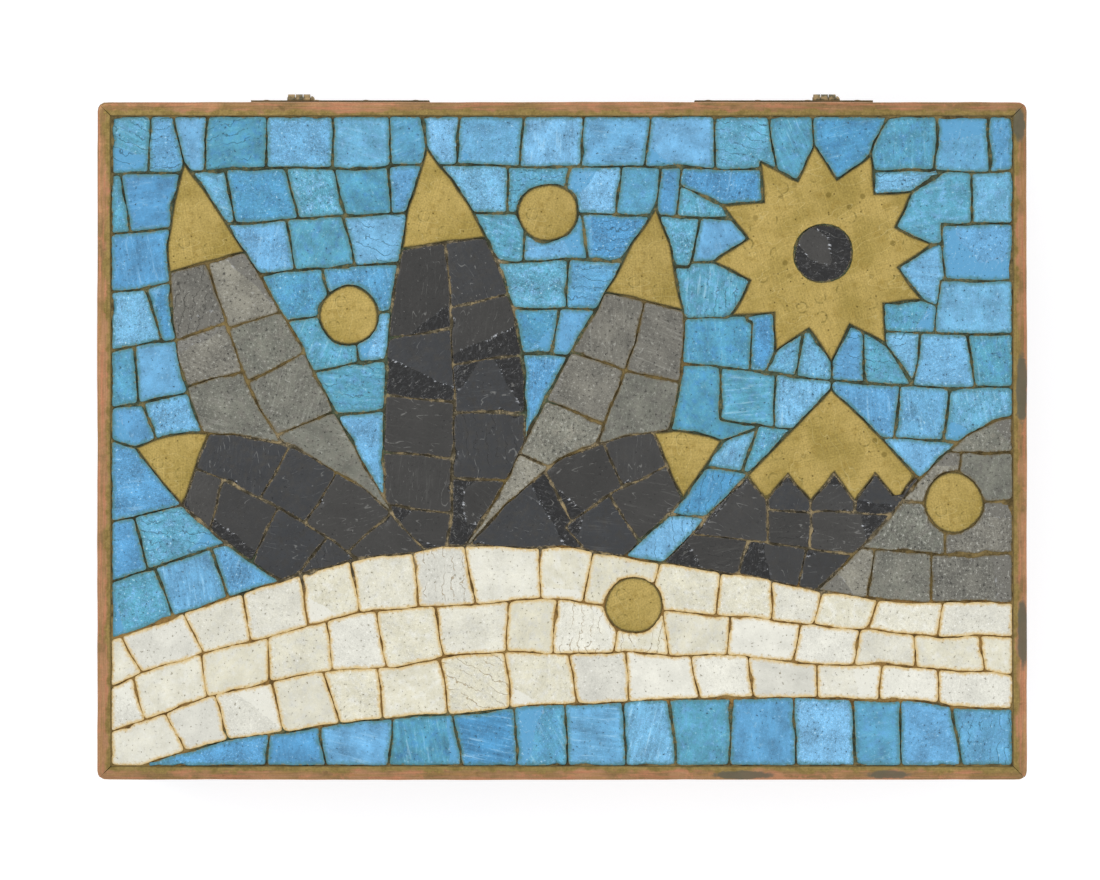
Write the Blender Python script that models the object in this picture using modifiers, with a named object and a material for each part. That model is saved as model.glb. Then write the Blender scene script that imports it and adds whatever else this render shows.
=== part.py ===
"""Mosaic box: a cedar box in copper sheet, with a hinged lid set with glass tesserae and brass plates.

Run it with: blender --background --python part.py
Metres, +Z up. The origin is the centre of the underside, the front is at -Y and the hinges are at +Y.
"""
import math
import random

import bmesh
import bpy
import numpy as np
from mathutils.geometry import delaunay_2d_cdt

# Case: a floor board and four lining boards in four mitred copper sheets
CASE_WIDTH = 0.203
CASE_DEPTH = 0.148
CASE_HEIGHT = 0.038
CORNER_RADIUS = 0.002
SHEET_THICKNESS = 0.0012
LINING_THICKNESS = 0.005
FLOOR_THICKNESS = 0.006

# Lid: a copper rim round a board, a bed of mortar and the mosaic
LID_SEAM = 0.0004
RIM_HEIGHT = 0.012
RIM_WIDTH = 0.003
RIM_BEVEL = 0.0004
LID_BOARD_THICKNESS = 0.005
MORTAR_THICKNESS = 0.0015
RIM_STANDS_PROUD = 0.0004
PLATE_LIES_LOW = 0.0001

# Mosaic
TESSERA = 0.0118
JOINT = 0.0005
JOINT_DEPTH = 0.0008
SHORTEST_SIDE = 0.0009
UNEVENNESS = 0.00015
DISC_RADIUS = 0.0064
SUN_RADIUS = 0.0240
SUN_NOTCH_RADIUS = 0.0168
SUN_POINTS = 12
SUN_TURN = 0.3
LEAF_WIDTH = 0.030
CAP_TOOTH = 0.0062
CAP_TEETH = 5

# The mountain, in shares of the panel's half width and half depth; the cap covers a share of it from the peak
MOUNTAIN_PEAK = (0.60, 0.16)
MOUNTAIN_LEFT_FOOT = (0.02, -0.66)
MOUNTAIN_RIGHT_FOOT = (1.18, -0.66)
MOUNTAIN_COURSES = 3
CAP_SHARE = 0.42

# The outlines of the shore and the hill have this many steps over the panel and run this far past its sides
BAND_STEPS = 36
PAST_SIDES = 1.02

# Hinges
HINGE_SPACING = 0.116
HINGE_LEAF_LENGTH = 0.039
HINGE_LEAF_HEIGHT = 0.009
HINGE_LEAF_THICKNESS = 0.0004
HINGE_LEAF_OVERHANG = 0.0100
HINGE_SEAT = 0.0001
KNUCKLE_RADIUS = 0.00125
KNUCKLE_LENGTH = 0.0015
KNUCKLE_CLEARANCE = 0.0002
PIN_RADIUS = 0.0006
PIN_CLEARANCE = 0.0001
PIN_HEAD_RADIUS = 0.0009
PIN_HEAD_LENGTH = 0.0008

# Hand work, as shares of a tessera: how far courses wander and joints lean, how long the pieces run, how far a
# joint runs on from a plate's point, and the least size and width of a piece
WANDER = 0.04
LEAN = 0.10
OVERRUN = 0.07
SHORTEST_RUN = 0.85
LONGEST_RUN = 1.30
POINT_JOINT = 1.0
SMALLEST_PIECE = 0.30
THINNEST_PIECE = 0.20

# Making: the gap between solids, the distance at which points are one, and how flat a dropped corner lies
GAP = 0.0003
WELD = 1e-6
STRAIGHT = 2e-5
NEARLY_STRAIGHT = 1e-4
MILLIMETRES = 1000
SEED = 11
ROUND_SIDES = 24
KNUCKLE_SIDES = 20
PIN_SIDES = 12

# Places that follow from the sizes
LID_BOTTOM = CASE_HEIGHT + LID_SEAM
LID_TOP = LID_BOTTOM + RIM_HEIGHT
MORTAR_BOTTOM = LID_BOTTOM + LID_BOARD_THICKNESS + GAP
MOSAIC_BOTTOM = MORTAR_BOTTOM + MORTAR_THICKNESS + GAP
MOSAIC_TOP = LID_TOP - RIM_STANDS_PROUD
PANEL_WIDTH = CASE_WIDTH - 2 * RIM_WIDTH - GAP
PANEL_DEPTH = CASE_DEPTH - 2 * RIM_WIDTH - GAP
HINGE_Y = CASE_DEPTH / 2 + HINGE_SEAT + KNUCKLE_RADIUS
HINGE_Z = CASE_HEIGHT + LID_SEAM / 2

# Colours as sRGB bytes, roughness and metal share of each finish
COPPER = ((160, 125, 88), 0.45, 1.0)
BRASS = ((176, 155, 90), 0.40, 1.0)
CEDAR = ((136, 88, 58), 0.65, 0.0)
PINE = ((186, 150, 104), 0.70, 0.0)
MORTAR = ((150, 124, 84), 0.95, 0.0)
TURQUOISE_GLASS = ((104, 168, 202), 0.35, 0.0)
WHITE_GLASS = ((218, 218, 205), 0.40, 0.0)
GREY_GLASS = ((118, 119, 110), 0.45, 0.0)
BLACK_GLASS = ((62, 64, 62), 0.25, 0.0)
HINGE_METAL = ((92, 74, 52), 0.50, 1.0)


# Scene, finishes and pieces

def clear_scene():
    for old in list(bpy.data.objects):
        bpy.data.objects.remove(old, do_unlink=True)


def new_collection(name):
    made = bpy.data.collections.new(name)
    bpy.context.scene.collection.children.link(made)
    return made


def linear(byte):
    """An sRGB byte as linear light."""
    share = byte / 255
    return share / 12.92 if share <= 0.04045 else ((share + 0.055) / 1.055) ** 2.4


def new_material(name, finish):
    colour, roughness, metal = finish
    made = bpy.data.materials.new(name)
    made.use_nodes = True
    shader = made.node_tree.nodes["Principled BSDF"]
    shader.inputs["Base Color"].default_value = (*(linear(byte) for byte in colour), 1)
    shader.inputs["Roughness"].default_value = roughness
    shader.inputs["Metallic"].default_value = metal
    return made


def add_piece(name, data, finish, lid=None):
    """Links a piece into the box; a piece of the lid hangs on the empty at the hinge axis."""
    piece = bpy.data.objects.new(name, data)
    BOX.objects.link(piece)
    data.materials.append(new_material(name, finish))
    if lid:
        piece.parent = lid
        piece.matrix_parent_inverse = lid.matrix_world.inverted()
    return piece


def plate_curve(name, loops, bottom, top):
    """A flat plate of the closed loops, which stands from bottom to top."""
    curve = bpy.data.curves.new(name, "CURVE")
    curve.dimensions = "2D"
    curve.fill_mode = "BOTH"
    curve.extrude = (top - bottom) / 2
    for loop in loops:
        spline = curve.splines.new("POLY")
        spline.points.add(len(loop) - 1)
        spline.use_cyclic_u = True
        for point, (x, y) in zip(spline.points, loop):
            point.co = (x, y, (bottom + top) / 2, 1)
    return curve


def curve_to_mesh(name, curve):
    """The curve as a mesh with its caps welded on and each flat face in one piece."""
    holder = bpy.data.objects.new(name, curve)
    bpy.context.scene.collection.objects.link(holder)
    bpy.context.view_layer.update()
    seen = holder.evaluated_get(bpy.context.evaluated_depsgraph_get())
    mesh = bpy.data.meshes.new_from_object(seen)
    mesh.name = name
    bpy.data.objects.remove(holder)
    bpy.data.curves.remove(curve)
    shape = bmesh.new()
    shape.from_mesh(mesh)
    bmesh.ops.remove_doubles(shape, verts=shape.verts, dist=WELD)
    bmesh.ops.dissolve_degenerate(shape, dist=WELD, edges=shape.edges)
    bmesh.ops.dissolve_limit(shape, angle_limit=math.radians(1), verts=shape.verts, edges=shape.edges)
    bmesh.ops.recalc_face_normals(shape, faces=shape.faces)
    shape.to_mesh(mesh)
    shape.free()
    return mesh


def box_mesh(name, low, high):
    shape = bmesh.new()
    bmesh.ops.create_cube(shape, size=1)
    size = [b - a for a, b in zip(low, high)]
    middle = [(a + b) / 2 for a, b in zip(low, high)]
    bmesh.ops.scale(shape, vec=size, verts=shape.verts)
    bmesh.ops.translate(shape, vec=middle, verts=shape.verts)
    mesh = bpy.data.meshes.new(name)
    shape.to_mesh(mesh)
    shape.free()
    return mesh


# Case and rim

SIDES = {"front": 0, "right": 1, "back": 2, "left": 3}


def side_outline(side, width, depth, thickness, radius):
    """The plan of one side of a frame of the given outer size, mitred at both ends.

    It is drawn for the front, with the outer face at y = 0 and the mitres set back by half a gap, and turned
    to its side. An outer corner of some radius is an arc from the mitre to the outer face.
    """
    turns = SIDES[side]
    length, across = (width, depth) if turns % 2 == 0 else (depth, width)
    setback = GAP / math.sqrt(2)
    half = []
    if radius:
        start = math.radians(45) - math.asin(setback / radius / math.sqrt(2))
        steps = ROUND_SIDES // 8
        for i in range(steps + 1):
            angle = start * i / steps
            half.append((length / 2 - radius + radius * math.sin(angle), radius - radius * math.cos(angle)))
    else:
        half.append((length / 2 - setback, 0.0))
    half.append((length / 2 - thickness - setback, thickness))
    outline = half + [(-x, y) for x, y in reversed(half)]
    angle = turns * math.pi / 2
    turned = []
    for x, y in outline:
        y -= across / 2
        turned.append((x * math.cos(angle) - y * math.sin(angle), x * math.sin(angle) + y * math.cos(angle)))
    return turned


def add_case():
    inner_width = CASE_WIDTH - 2 * SHEET_THICKNESS - 2 * GAP
    inner_depth = CASE_DEPTH - 2 * SHEET_THICKNESS - 2 * GAP
    for side in SIDES:
        sheet = side_outline(side, CASE_WIDTH, CASE_DEPTH, SHEET_THICKNESS, CORNER_RADIUS)
        add_piece(f"case_{side}_sheet", plate_curve("sheet", [sheet], 0, CASE_HEIGHT), COPPER)
        board = side_outline(side, inner_width, inner_depth, LINING_THICKNESS, 0)
        bottom = FLOOR_THICKNESS + GAP
        add_piece(f"lining_{side}", plate_curve("lining", [board], bottom, CASE_HEIGHT), CEDAR)
    corner = (inner_width / 2, inner_depth / 2)
    low, high = (-corner[0], -corner[1], 0), (*corner, FLOOR_THICKNESS)
    add_piece("floor_board", box_mesh("floor_board", low, high), CEDAR)


def bevelled_rim(side):
    """One rim strip with its upper outer edge eased, as filed metal is.

    The two inner corners are the middle points of the outline.
    """
    outline = side_outline(side, CASE_WIDTH, CASE_DEPTH, RIM_WIDTH, CORNER_RADIUS)
    mesh = curve_to_mesh(f"rim_{side}", plate_curve("rim", [outline], LID_BOTTOM, LID_TOP))
    shape = bmesh.new()
    shape.from_mesh(mesh)
    half = len(outline) // 2
    outer = outline[:half - 1] + outline[half + 1:]

    def is_outer(vert):
        return vert.co.z > LID_TOP - WELD and min(math.dist(vert.co[:2], point) for point in outer) < WELD

    edges = [edge for edge in shape.edges if all(is_outer(vert) for vert in edge.verts)]
    bmesh.ops.bevel(shape, geom=edges, offset=RIM_BEVEL, segments=2, profile=0.5, affect="EDGES")
    shape.to_mesh(mesh)
    shape.free()
    return mesh


def add_lid_frame(lid):
    for side in SIDES:
        add_piece(f"rim_{side}", bevelled_rim(side), COPPER, lid)
    x, y = CASE_WIDTH / 2 - RIM_WIDTH - GAP, CASE_DEPTH / 2 - RIM_WIDTH - GAP
    board = box_mesh("lid_board", (-x, -y, LID_BOTTOM), (x, y, LID_BOTTOM + LID_BOARD_THICKNESS))
    add_piece("lid_board", board, PINE, lid)
    bed = box_mesh("mortar_bed", (-x, -y, MORTAR_BOTTOM), (x, y, MORTAR_BOTTOM + MORTAR_THICKNESS))
    add_piece("mortar_bed", bed, MORTAR, lid)


# Hinges

def add_cutter(name, mesh):
    made = bpy.data.objects.new(name, mesh)
    CUTTERS.objects.link(made)
    made.hide_render = True
    made.display_type = "WIRE"
    return made


def axis_cylinder(name, radius, low, high):
    """A cylinder round the hinge axis between two places along it."""
    shape = bmesh.new()
    bmesh.ops.create_cone(shape, cap_ends=True, segments=KNUCKLE_SIDES, radius1=radius, radius2=radius,
                          depth=high - low)
    mesh = bpy.data.meshes.new(name)
    shape.to_mesh(mesh)
    shape.free()
    made = add_cutter(name, mesh)
    made.location = ((low + high) / 2, HINGE_Y, HINGE_Z)
    made.rotation_euler = (0, math.pi / 2, 0)
    return made


def leaf_box(name, ends, near, far, up):
    """A stretch of the leaf's sheet between two distances from the axis, up (1) or down (-1)."""
    inner, outer = HINGE_Y - KNUCKLE_RADIUS, HINGE_Y - KNUCKLE_RADIUS + HINGE_LEAF_THICKNESS
    bottom, top = sorted((HINGE_Z + up * near, HINGE_Z + up * far))
    return box_mesh(name, (ends[0], inner, bottom), (ends[1], outer, top))


def add_leaf(name, up, side, knuckles, lid=None):
    """A sheet leaf with a tab to each rolled knuckle, and the pin's bore cut through them.

    A tab is a little narrower than its knuckle and stops short of the axis, inside the roll.
    """
    axis = side * HINGE_SPACING / 2
    end = axis + side * HINGE_LEAF_OVERHANG
    ends = sorted((end, end - side * HINGE_LEAF_LENGTH))
    near = KNUCKLE_RADIUS + GAP
    far = near + HINGE_LEAF_HEIGHT
    leaf = add_piece(name, leaf_box(name, ends, near, far, up), HINGE_METAL, lid)
    tools = []
    for low, high in ((axis + low, axis + high) for low, high in knuckles):
        shoulders = (low + KNUCKLE_CLEARANCE / 2, high - KNUCKLE_CLEARANCE / 2)
        tab = leaf_box("tab", shoulders, KNUCKLE_RADIUS / 5, (near + far) / 2, up)
        tools.append(("UNION", add_cutter(f"{name}_tab", tab)))
        tools.append(("UNION", axis_cylinder(f"{name}_roll", KNUCKLE_RADIUS, low, high)))
    reach = 2 * KNUCKLE_LENGTH
    bore = axis_cylinder(f"{name}_bore", PIN_RADIUS + PIN_CLEARANCE, axis - reach, axis + reach)
    for operation, tool in tools + [("DIFFERENCE", bore)]:
        boolean = leaf.modifiers.new(operation.lower(), "BOOLEAN")
        boolean.operation = operation
        boolean.solver = "EXACT"
        boolean.object = tool


def add_pin(name, place, outer_end):
    """A turned pin along the axis, with a domed head at its right end."""
    head_bottom = outer_end + KNUCKLE_CLEARANCE
    arc = ROUND_SIDES // 6
    dome = []
    for i in range(arc + 1):
        angle = math.pi / 2 * i / arc
        dome.append((PIN_HEAD_RADIUS * math.sin(angle), head_bottom + PIN_HEAD_LENGTH * math.cos(angle)))
    profile = dome + [(PIN_RADIUS, head_bottom), (PIN_RADIUS, -head_bottom), (0, -head_bottom)]
    mesh = bpy.data.meshes.new(name)
    mesh.from_pydata([(r, 0, z) for r, z in profile], [(i, i + 1) for i in range(len(profile) - 1)], [])
    pin = add_piece(name, mesh, HINGE_METAL)
    screw = pin.modifiers.new("turn", "SCREW")
    screw.axis = "Z"
    screw.steps = PIN_SIDES
    screw.render_steps = PIN_SIDES
    screw.use_merge_vertices = True
    screw.merge_threshold = 10 * WELD
    pin.location = (place, HINGE_Y, HINGE_Z)
    pin.rotation_euler = (0, math.pi / 2, 0)


def add_hinges(lid):
    middle = (-KNUCKLE_LENGTH / 2, KNUCKLE_LENGTH / 2)
    near = KNUCKLE_LENGTH / 2 + KNUCKLE_CLEARANCE
    far = near + KNUCKLE_LENGTH
    for word, side in (("left", -1), ("right", 1)):
        add_leaf(f"hinge_{word}_lid_leaf", 1, side, [middle], lid)
        add_leaf(f"hinge_{word}_case_leaf", -1, side, [(-far, -near), (near, far)])
        add_pin(f"hinge_{word}_pin", side * HINGE_SPACING / 2, far)


# The picture: a maguey on a white shore, a mountain, a hill and a sun

def at(x, y):
    """A place on the panel from shares of its half width and half depth."""
    return x * PANEL_WIDTH / 2, y * PANEL_DEPTH / 2


class Field:
    """One area of the picture. It has an outline, or none where it is all that is left behind the others.

    A field of tesserae has joints drawn across it; a plate has none and is one piece.
    """

    def __init__(self, name, finish, outline, joints=None):
        self.name, self.finish, self.outline, self.joints = name, finish, outline, joints or []
        self.is_plate = joints is None


def disc(centre, radius):
    angles = [2 * math.pi * i / ROUND_SIDES for i in range(ROUND_SIDES)]
    return [(centre[0] + radius * math.cos(a), centre[1] + radius * math.sin(a)) for a in angles]


def zigzag_sun(centre):
    """A ring of points: corners alternate between the outer and the notch radius."""
    made = []
    for i in range(2 * SUN_POINTS):
        radius = SUN_RADIUS if i % 2 == 0 else SUN_NOTCH_RADIUS
        angle = math.pi * (i + SUN_TURN) / SUN_POINTS
        made.append((centre[0] + radius * math.cos(angle), centre[1] + radius * math.sin(angle)))
    return made


class Leaf:
    """A pointed leaf along a quadratic midrib, widest below its middle, with a metal tip."""

    TIP_STARTS = 0.80
    STATIONS = 14
    TAPER = 2.4
    ROOT_SHARE = 0.67
    WIDENING = 0.84

    def __init__(self, name, finish, root, tip, bend, width=LEAF_WIDTH):
        self.name, self.finish, self.width = name, finish, width
        self.root, self.tip = at(*root), at(*tip)
        along = (self.tip[0] - self.root[0], self.tip[1] - self.root[1])
        middle = ((self.root[0] + self.tip[0]) / 2, (self.root[1] + self.tip[1]) / 2)
        self.bow = (middle[0] - bend * along[1], middle[1] + bend * along[0])
        self.length = math.hypot(*along)

    def point(self, s, across):
        """s runs from 0 at the root to 1 at the tip, and across from -1 to 1 over the width there."""
        p, c, q = self.root, self.bow, self.tip
        x, y = ((1 - s) ** 2 * p[i] + 2 * s * (1 - s) * c[i] + s * s * q[i] for i in (0, 1))
        dx, dy = (2 * (1 - s) * (c[i] - p[i]) + 2 * s * (q[i] - c[i]) for i in (0, 1))
        size = math.hypot(dx, dy)
        half = self.width / 2 * (1 - s**self.TAPER) * (self.ROOT_SHARE + self.WIDENING * s)
        return x - dy / size * across * half, y + dx / size * across * half

    def fields(self, rng):
        """The metal tip and the leaf's tesserae, in two courses along the midrib."""
        stations = [i / self.STATIONS for i in range(self.STATIONS + 1)]
        near = 0.3 / self.STATIONS
        body = [s for s in stations if s < self.TIP_STARTS - near] + [self.TIP_STARTS]
        beyond = [self.TIP_STARTS] + [s for s in stations if s > self.TIP_STARTS + near]
        outline = [self.point(s, 1) for s in body] + [self.point(s, -1) for s in reversed(body)]
        tip = [self.point(s, -1) for s in beyond] + [self.point(s, 1) for s in reversed(beyond[:-1])]
        joints = [[self.point(s, 0) for s in stations]]
        step = TESSERA / self.length
        for low, high in ((-1 - OVERRUN, OVERRUN), (-OVERRUN, 1 + OVERRUN)):
            s = rng.random() * step
            while s < self.TIP_STARTS - step / 2:
                lean = rng.uniform(-LEAN, LEAN) * step
                joints.append([self.point(s - lean, low), self.point(s + lean, high)])
                s += rng.uniform(SHORTEST_RUN, LONGEST_RUN) * step
        return [Field(f"{self.name}_tip", BRASS, tip),
                Field(f"{self.name}_tesserae", self.finish, outline, joints)]


class Courses:
    """Rows that run between the curves low(x) and high(x), given as functions."""

    def __init__(self, low, high, rows):
        self.low, self.high, self.rows = low, high, rows

    def edge(self, row, x):
        return self.low(x) + (self.high(x) - self.low(x)) * row / self.rows

    def joints(self, rng):
        """One uneven line for each row edge, and cross joints square to each row, broken from row to row."""
        left, right = -PANEL_WIDTH / 2 - TESSERA, PANEL_WIDTH / 2 + TESSERA
        made = []
        for row in range(self.rows + 1):
            x, line = left, []
            while x < right + TESSERA:
                line.append((x, self.edge(row, x) + rng.uniform(-WANDER, WANDER) * TESSERA))
                x += rng.uniform(SHORTEST_RUN, LONGEST_RUN) * TESSERA
            made.append(line)
        for row in range(self.rows):
            x = left + rng.random() * TESSERA
            while x < right:
                bottom, top = self.edge(row, x) - OVERRUN * TESSERA, self.edge(row + 1, x) + OVERRUN * TESSERA
                slope = (self.edge(row, x + TESSERA / 2) - self.edge(row, x - TESSERA / 2)) / TESSERA
                shift = slope * (top - bottom) / 2 + rng.uniform(-LEAN, LEAN) * TESSERA
                made.append([(x + shift, bottom), (x - shift, top)])
                x += rng.uniform(SHORTEST_RUN, LONGEST_RUN) * TESSERA
        return made

    def place(self, x_share, row):
        """A place on a row edge."""
        x = x_share * PANEL_WIDTH / 2
        return x, self.edge(row, x)


def joint_beyond(point, inside):
    """A joint that runs on from a plate's point, away from a place inside the plate, to the next joint."""
    share = POINT_JOINT * TESSERA / math.dist(point, inside)
    return [point, tuple(p + (p - q) * share for p, q in zip(point, inside))]


def panel_share(x):
    return 2 * x / PANEL_WIDTH


def shore_top(x):
    """A wave over a line that rises to the right."""
    t = panel_share(x)
    return PANEL_DEPTH / 2 * (-0.46 + 0.16 * math.sin(2.4 * t + 2.2) + 0.12 * t)


def shore_bottom(x):
    """A slight wave that falls off steeply at the left."""
    t = panel_share(x)
    return PANEL_DEPTH / 2 * (-0.81 - 0.02 * t + 0.03 * math.sin(3 * t) - 0.24 * ((1 - t) / 2) ** 6)


def hill_top(x):
    """A bell round a summit just past the panel's right side."""
    t = panel_share(x)
    return PANEL_DEPTH / 2 * (-0.66 + 0.74 * math.exp(-(((t - 1.02) / 0.40) ** 2)))


def level(share):
    """A level line across the panel."""
    return lambda x: share * PANEL_DEPTH / 2


def band(top, bottom):
    """The outline between two curves over the whole panel and a little past its sides."""
    xs = [(2 * i / BAND_STEPS - 1) * PAST_SIDES * PANEL_WIDTH / 2 for i in range(BAND_STEPS + 1)]
    return [(x, top(x)) for x in xs] + [(x, bottom(x)) for x in reversed(xs)]


def mountain_fields(rng):
    """A mountain of tesserae under a brass cap whose lower edge is a zigzag."""
    peak, left, right = at(*MOUNTAIN_PEAK), at(*MOUNTAIN_LEFT_FOOT), at(*MOUNTAIN_RIGHT_FOOT)

    def down(foot):
        return peak[0] + (foot[0] - peak[0]) * CAP_SHARE, peak[1] + (foot[1] - peak[1]) * CAP_SHARE

    (start, low), (end, _) = down(left), down(right)
    zigzag = []
    for i in range(2 * CAP_TEETH + 1):
        rise = CAP_TOOTH if i % 2 else 0
        zigzag.append((start + (end - start) * i / (2 * CAP_TEETH), low + rise))
    courses = Courses(shore_top, lambda x: low + CAP_TOOTH, MOUNTAIN_COURSES)
    joints = courses.joints(rng) + [joint_beyond((x, y), (x, y + CAP_TOOTH)) for x, y in zigzag[2:-2:2]]
    return [Field("mountain_cap", BRASS, zigzag + [peak]),
            Field("mountain_tesserae", BLACK_GLASS, [left, right, peak], joints)]


def maguey():
    """The maguey's leaves from front to back."""
    return [
        Leaf("leaf_low", BLACK_GLASS, (-0.34, -0.50), (-0.95, -0.02), -0.12, LEAF_WIDTH),
        Leaf("leaf_fallen", BLACK_GLASS, (-0.18, -0.52), (0.36, 0.00), 0.14, 0.95 * LEAF_WIDTH),
        Leaf("leaf_left", GREY_GLASS, (-0.36, -0.54), (-0.84, 0.86), 0.14, 1.05 * LEAF_WIDTH),
        Leaf("leaf_right", GREY_GLASS, (-0.20, -0.56), (0.21, 0.72), -0.18, 1.05 * LEAF_WIDTH),
        Leaf("leaf_tall", BLACK_GLASS, (-0.28, -0.56), (-0.30, 0.90), -0.10, 1.15 * LEAF_WIDTH),
    ]


def picture():
    """The fields of the picture from front to back; the sky is what the others leave."""
    rng = random.Random(SEED)
    shore = Courses(shore_bottom, shore_top, 3)
    lake = Courses(level(-1), shore_bottom, 1)
    hill = Courses(shore_top, level(0.12), 4)
    sky = Courses(shore_top, level(1), 9)
    sun = at(0.58, 0.58)
    fields = [Field("sun_centre", BLACK_GLASS, disc(sun, DISC_RADIUS)),
              Field("sun_plate", BRASS, zigzag_sun(sun))]
    places = {"hill": hill.place(0.87, 2), "shore": shore.place(0.16, 2),
              "sky_left": sky.place(-0.475, 5), "sky_right": sky.place(-0.03, 7)}
    fields += [Field(f"disc_{name}", BRASS, disc(place, DISC_RADIUS)) for name, place in places.items()]
    fields += [
        Field("shore_tesserae", WHITE_GLASS, band(shore_top, shore_bottom), shore.joints(rng)),
        Field("lake_tesserae", TURQUOISE_GLASS, band(shore_bottom, level(-2)), lake.joints(rng)),
    ]
    leaves = maguey()
    fields += [field for leaf in leaves for field in leaf.fields(rng)]
    fields.append(Field("hill_tesserae", GREY_GLASS, band(hill_top, level(-2)), hill.joints(rng)))
    fields += mountain_fields(rng)
    beyond = [joint_beyond(point, sun) for point in zigzag_sun(sun)[::2]]
    beyond += [joint_beyond(leaf.tip, leaf.point(leaf.TIP_STARTS, 0)) for leaf in leaves]
    beyond.append(joint_beyond(at(*MOUNTAIN_PEAK), at(MOUNTAIN_PEAK[0], 0)))
    fields.append(Field("sky_tesserae", TURQUOISE_GLASS, None, sky.joints(rng) + beyond))
    return fields


# Cutting the picture into its pieces


def winding(points, loops):
    """How often the loops turn anticlockwise round each point."""
    x, y = points[:, 0], points[:, 1]
    turns = np.zeros(len(points), int)
    for loop in loops:
        for (x0, y0), (x1, y1) in zip(loop, loop[1:] + loop[:1]):
            if y0 != y1:
                crossing = x0 + (y - y0) * (x1 - x0) / (y1 - y0)
                crosses = ((y0 > y) != (y1 > y)) & (x < crossing)
                turns += np.where(crosses, 1 if y1 > y0 else -1, 0)
    return turns


def triangulate(loops, lines=()):
    """Triangles over all that the loops and lines span, with every stretch of them an edge.

    It works in millimetres, where the numbers suit it. Returns the vertices, the triangles, their areas and,
    for each edge, the numbers of the lines that it lies on.
    """
    points, edges, owners = [], [], []
    for number, (line, closed) in enumerate([(loop, True) for loop in loops] + list(lines)):
        first, count = len(points), len(line)
        points += [(x * MILLIMETRES, y * MILLIMETRES) for x, y in line]
        for i in range(count if closed else count - 1):
            edges.append((first + i, first + (i + 1) % count))
            owners.append(number)
    verts, edges, triangles, _, sources, _ = delaunay_2d_cdt(points, edges, [], 0, WELD * MILLIMETRES)
    verts = np.array([tuple(v) for v in verts]) / MILLIMETRES
    triangles = np.array(triangles)
    a, b, c = (verts[triangles[:, i]] for i in range(3))
    area = ((b - a)[:, 0] * (c - a)[:, 1] - (b - a)[:, 1] * (c - a)[:, 0]) / 2
    triangles[area < 0] = triangles[area < 0][:, ::-1]
    lies_on = {tuple(sorted(edge)): {owners[s] for s in came_from} for edge, came_from in zip(edges, sources)}
    return verts, triangles, np.abs(area), lies_on


class Groups:
    """Sets of triangles that are joined two at a time."""

    def __init__(self, count):
        self.parent = list(range(count))

    def find(self, a):
        while self.parent[a] != a:
            self.parent[a] = self.parent[self.parent[a]]
            a = self.parent[a]
        return a

    def join(self, a, b):
        self.parent[self.find(a)] = self.find(b)

    def roots(self):
        return np.array([self.find(a) for a in range(len(self.parent))])


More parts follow.
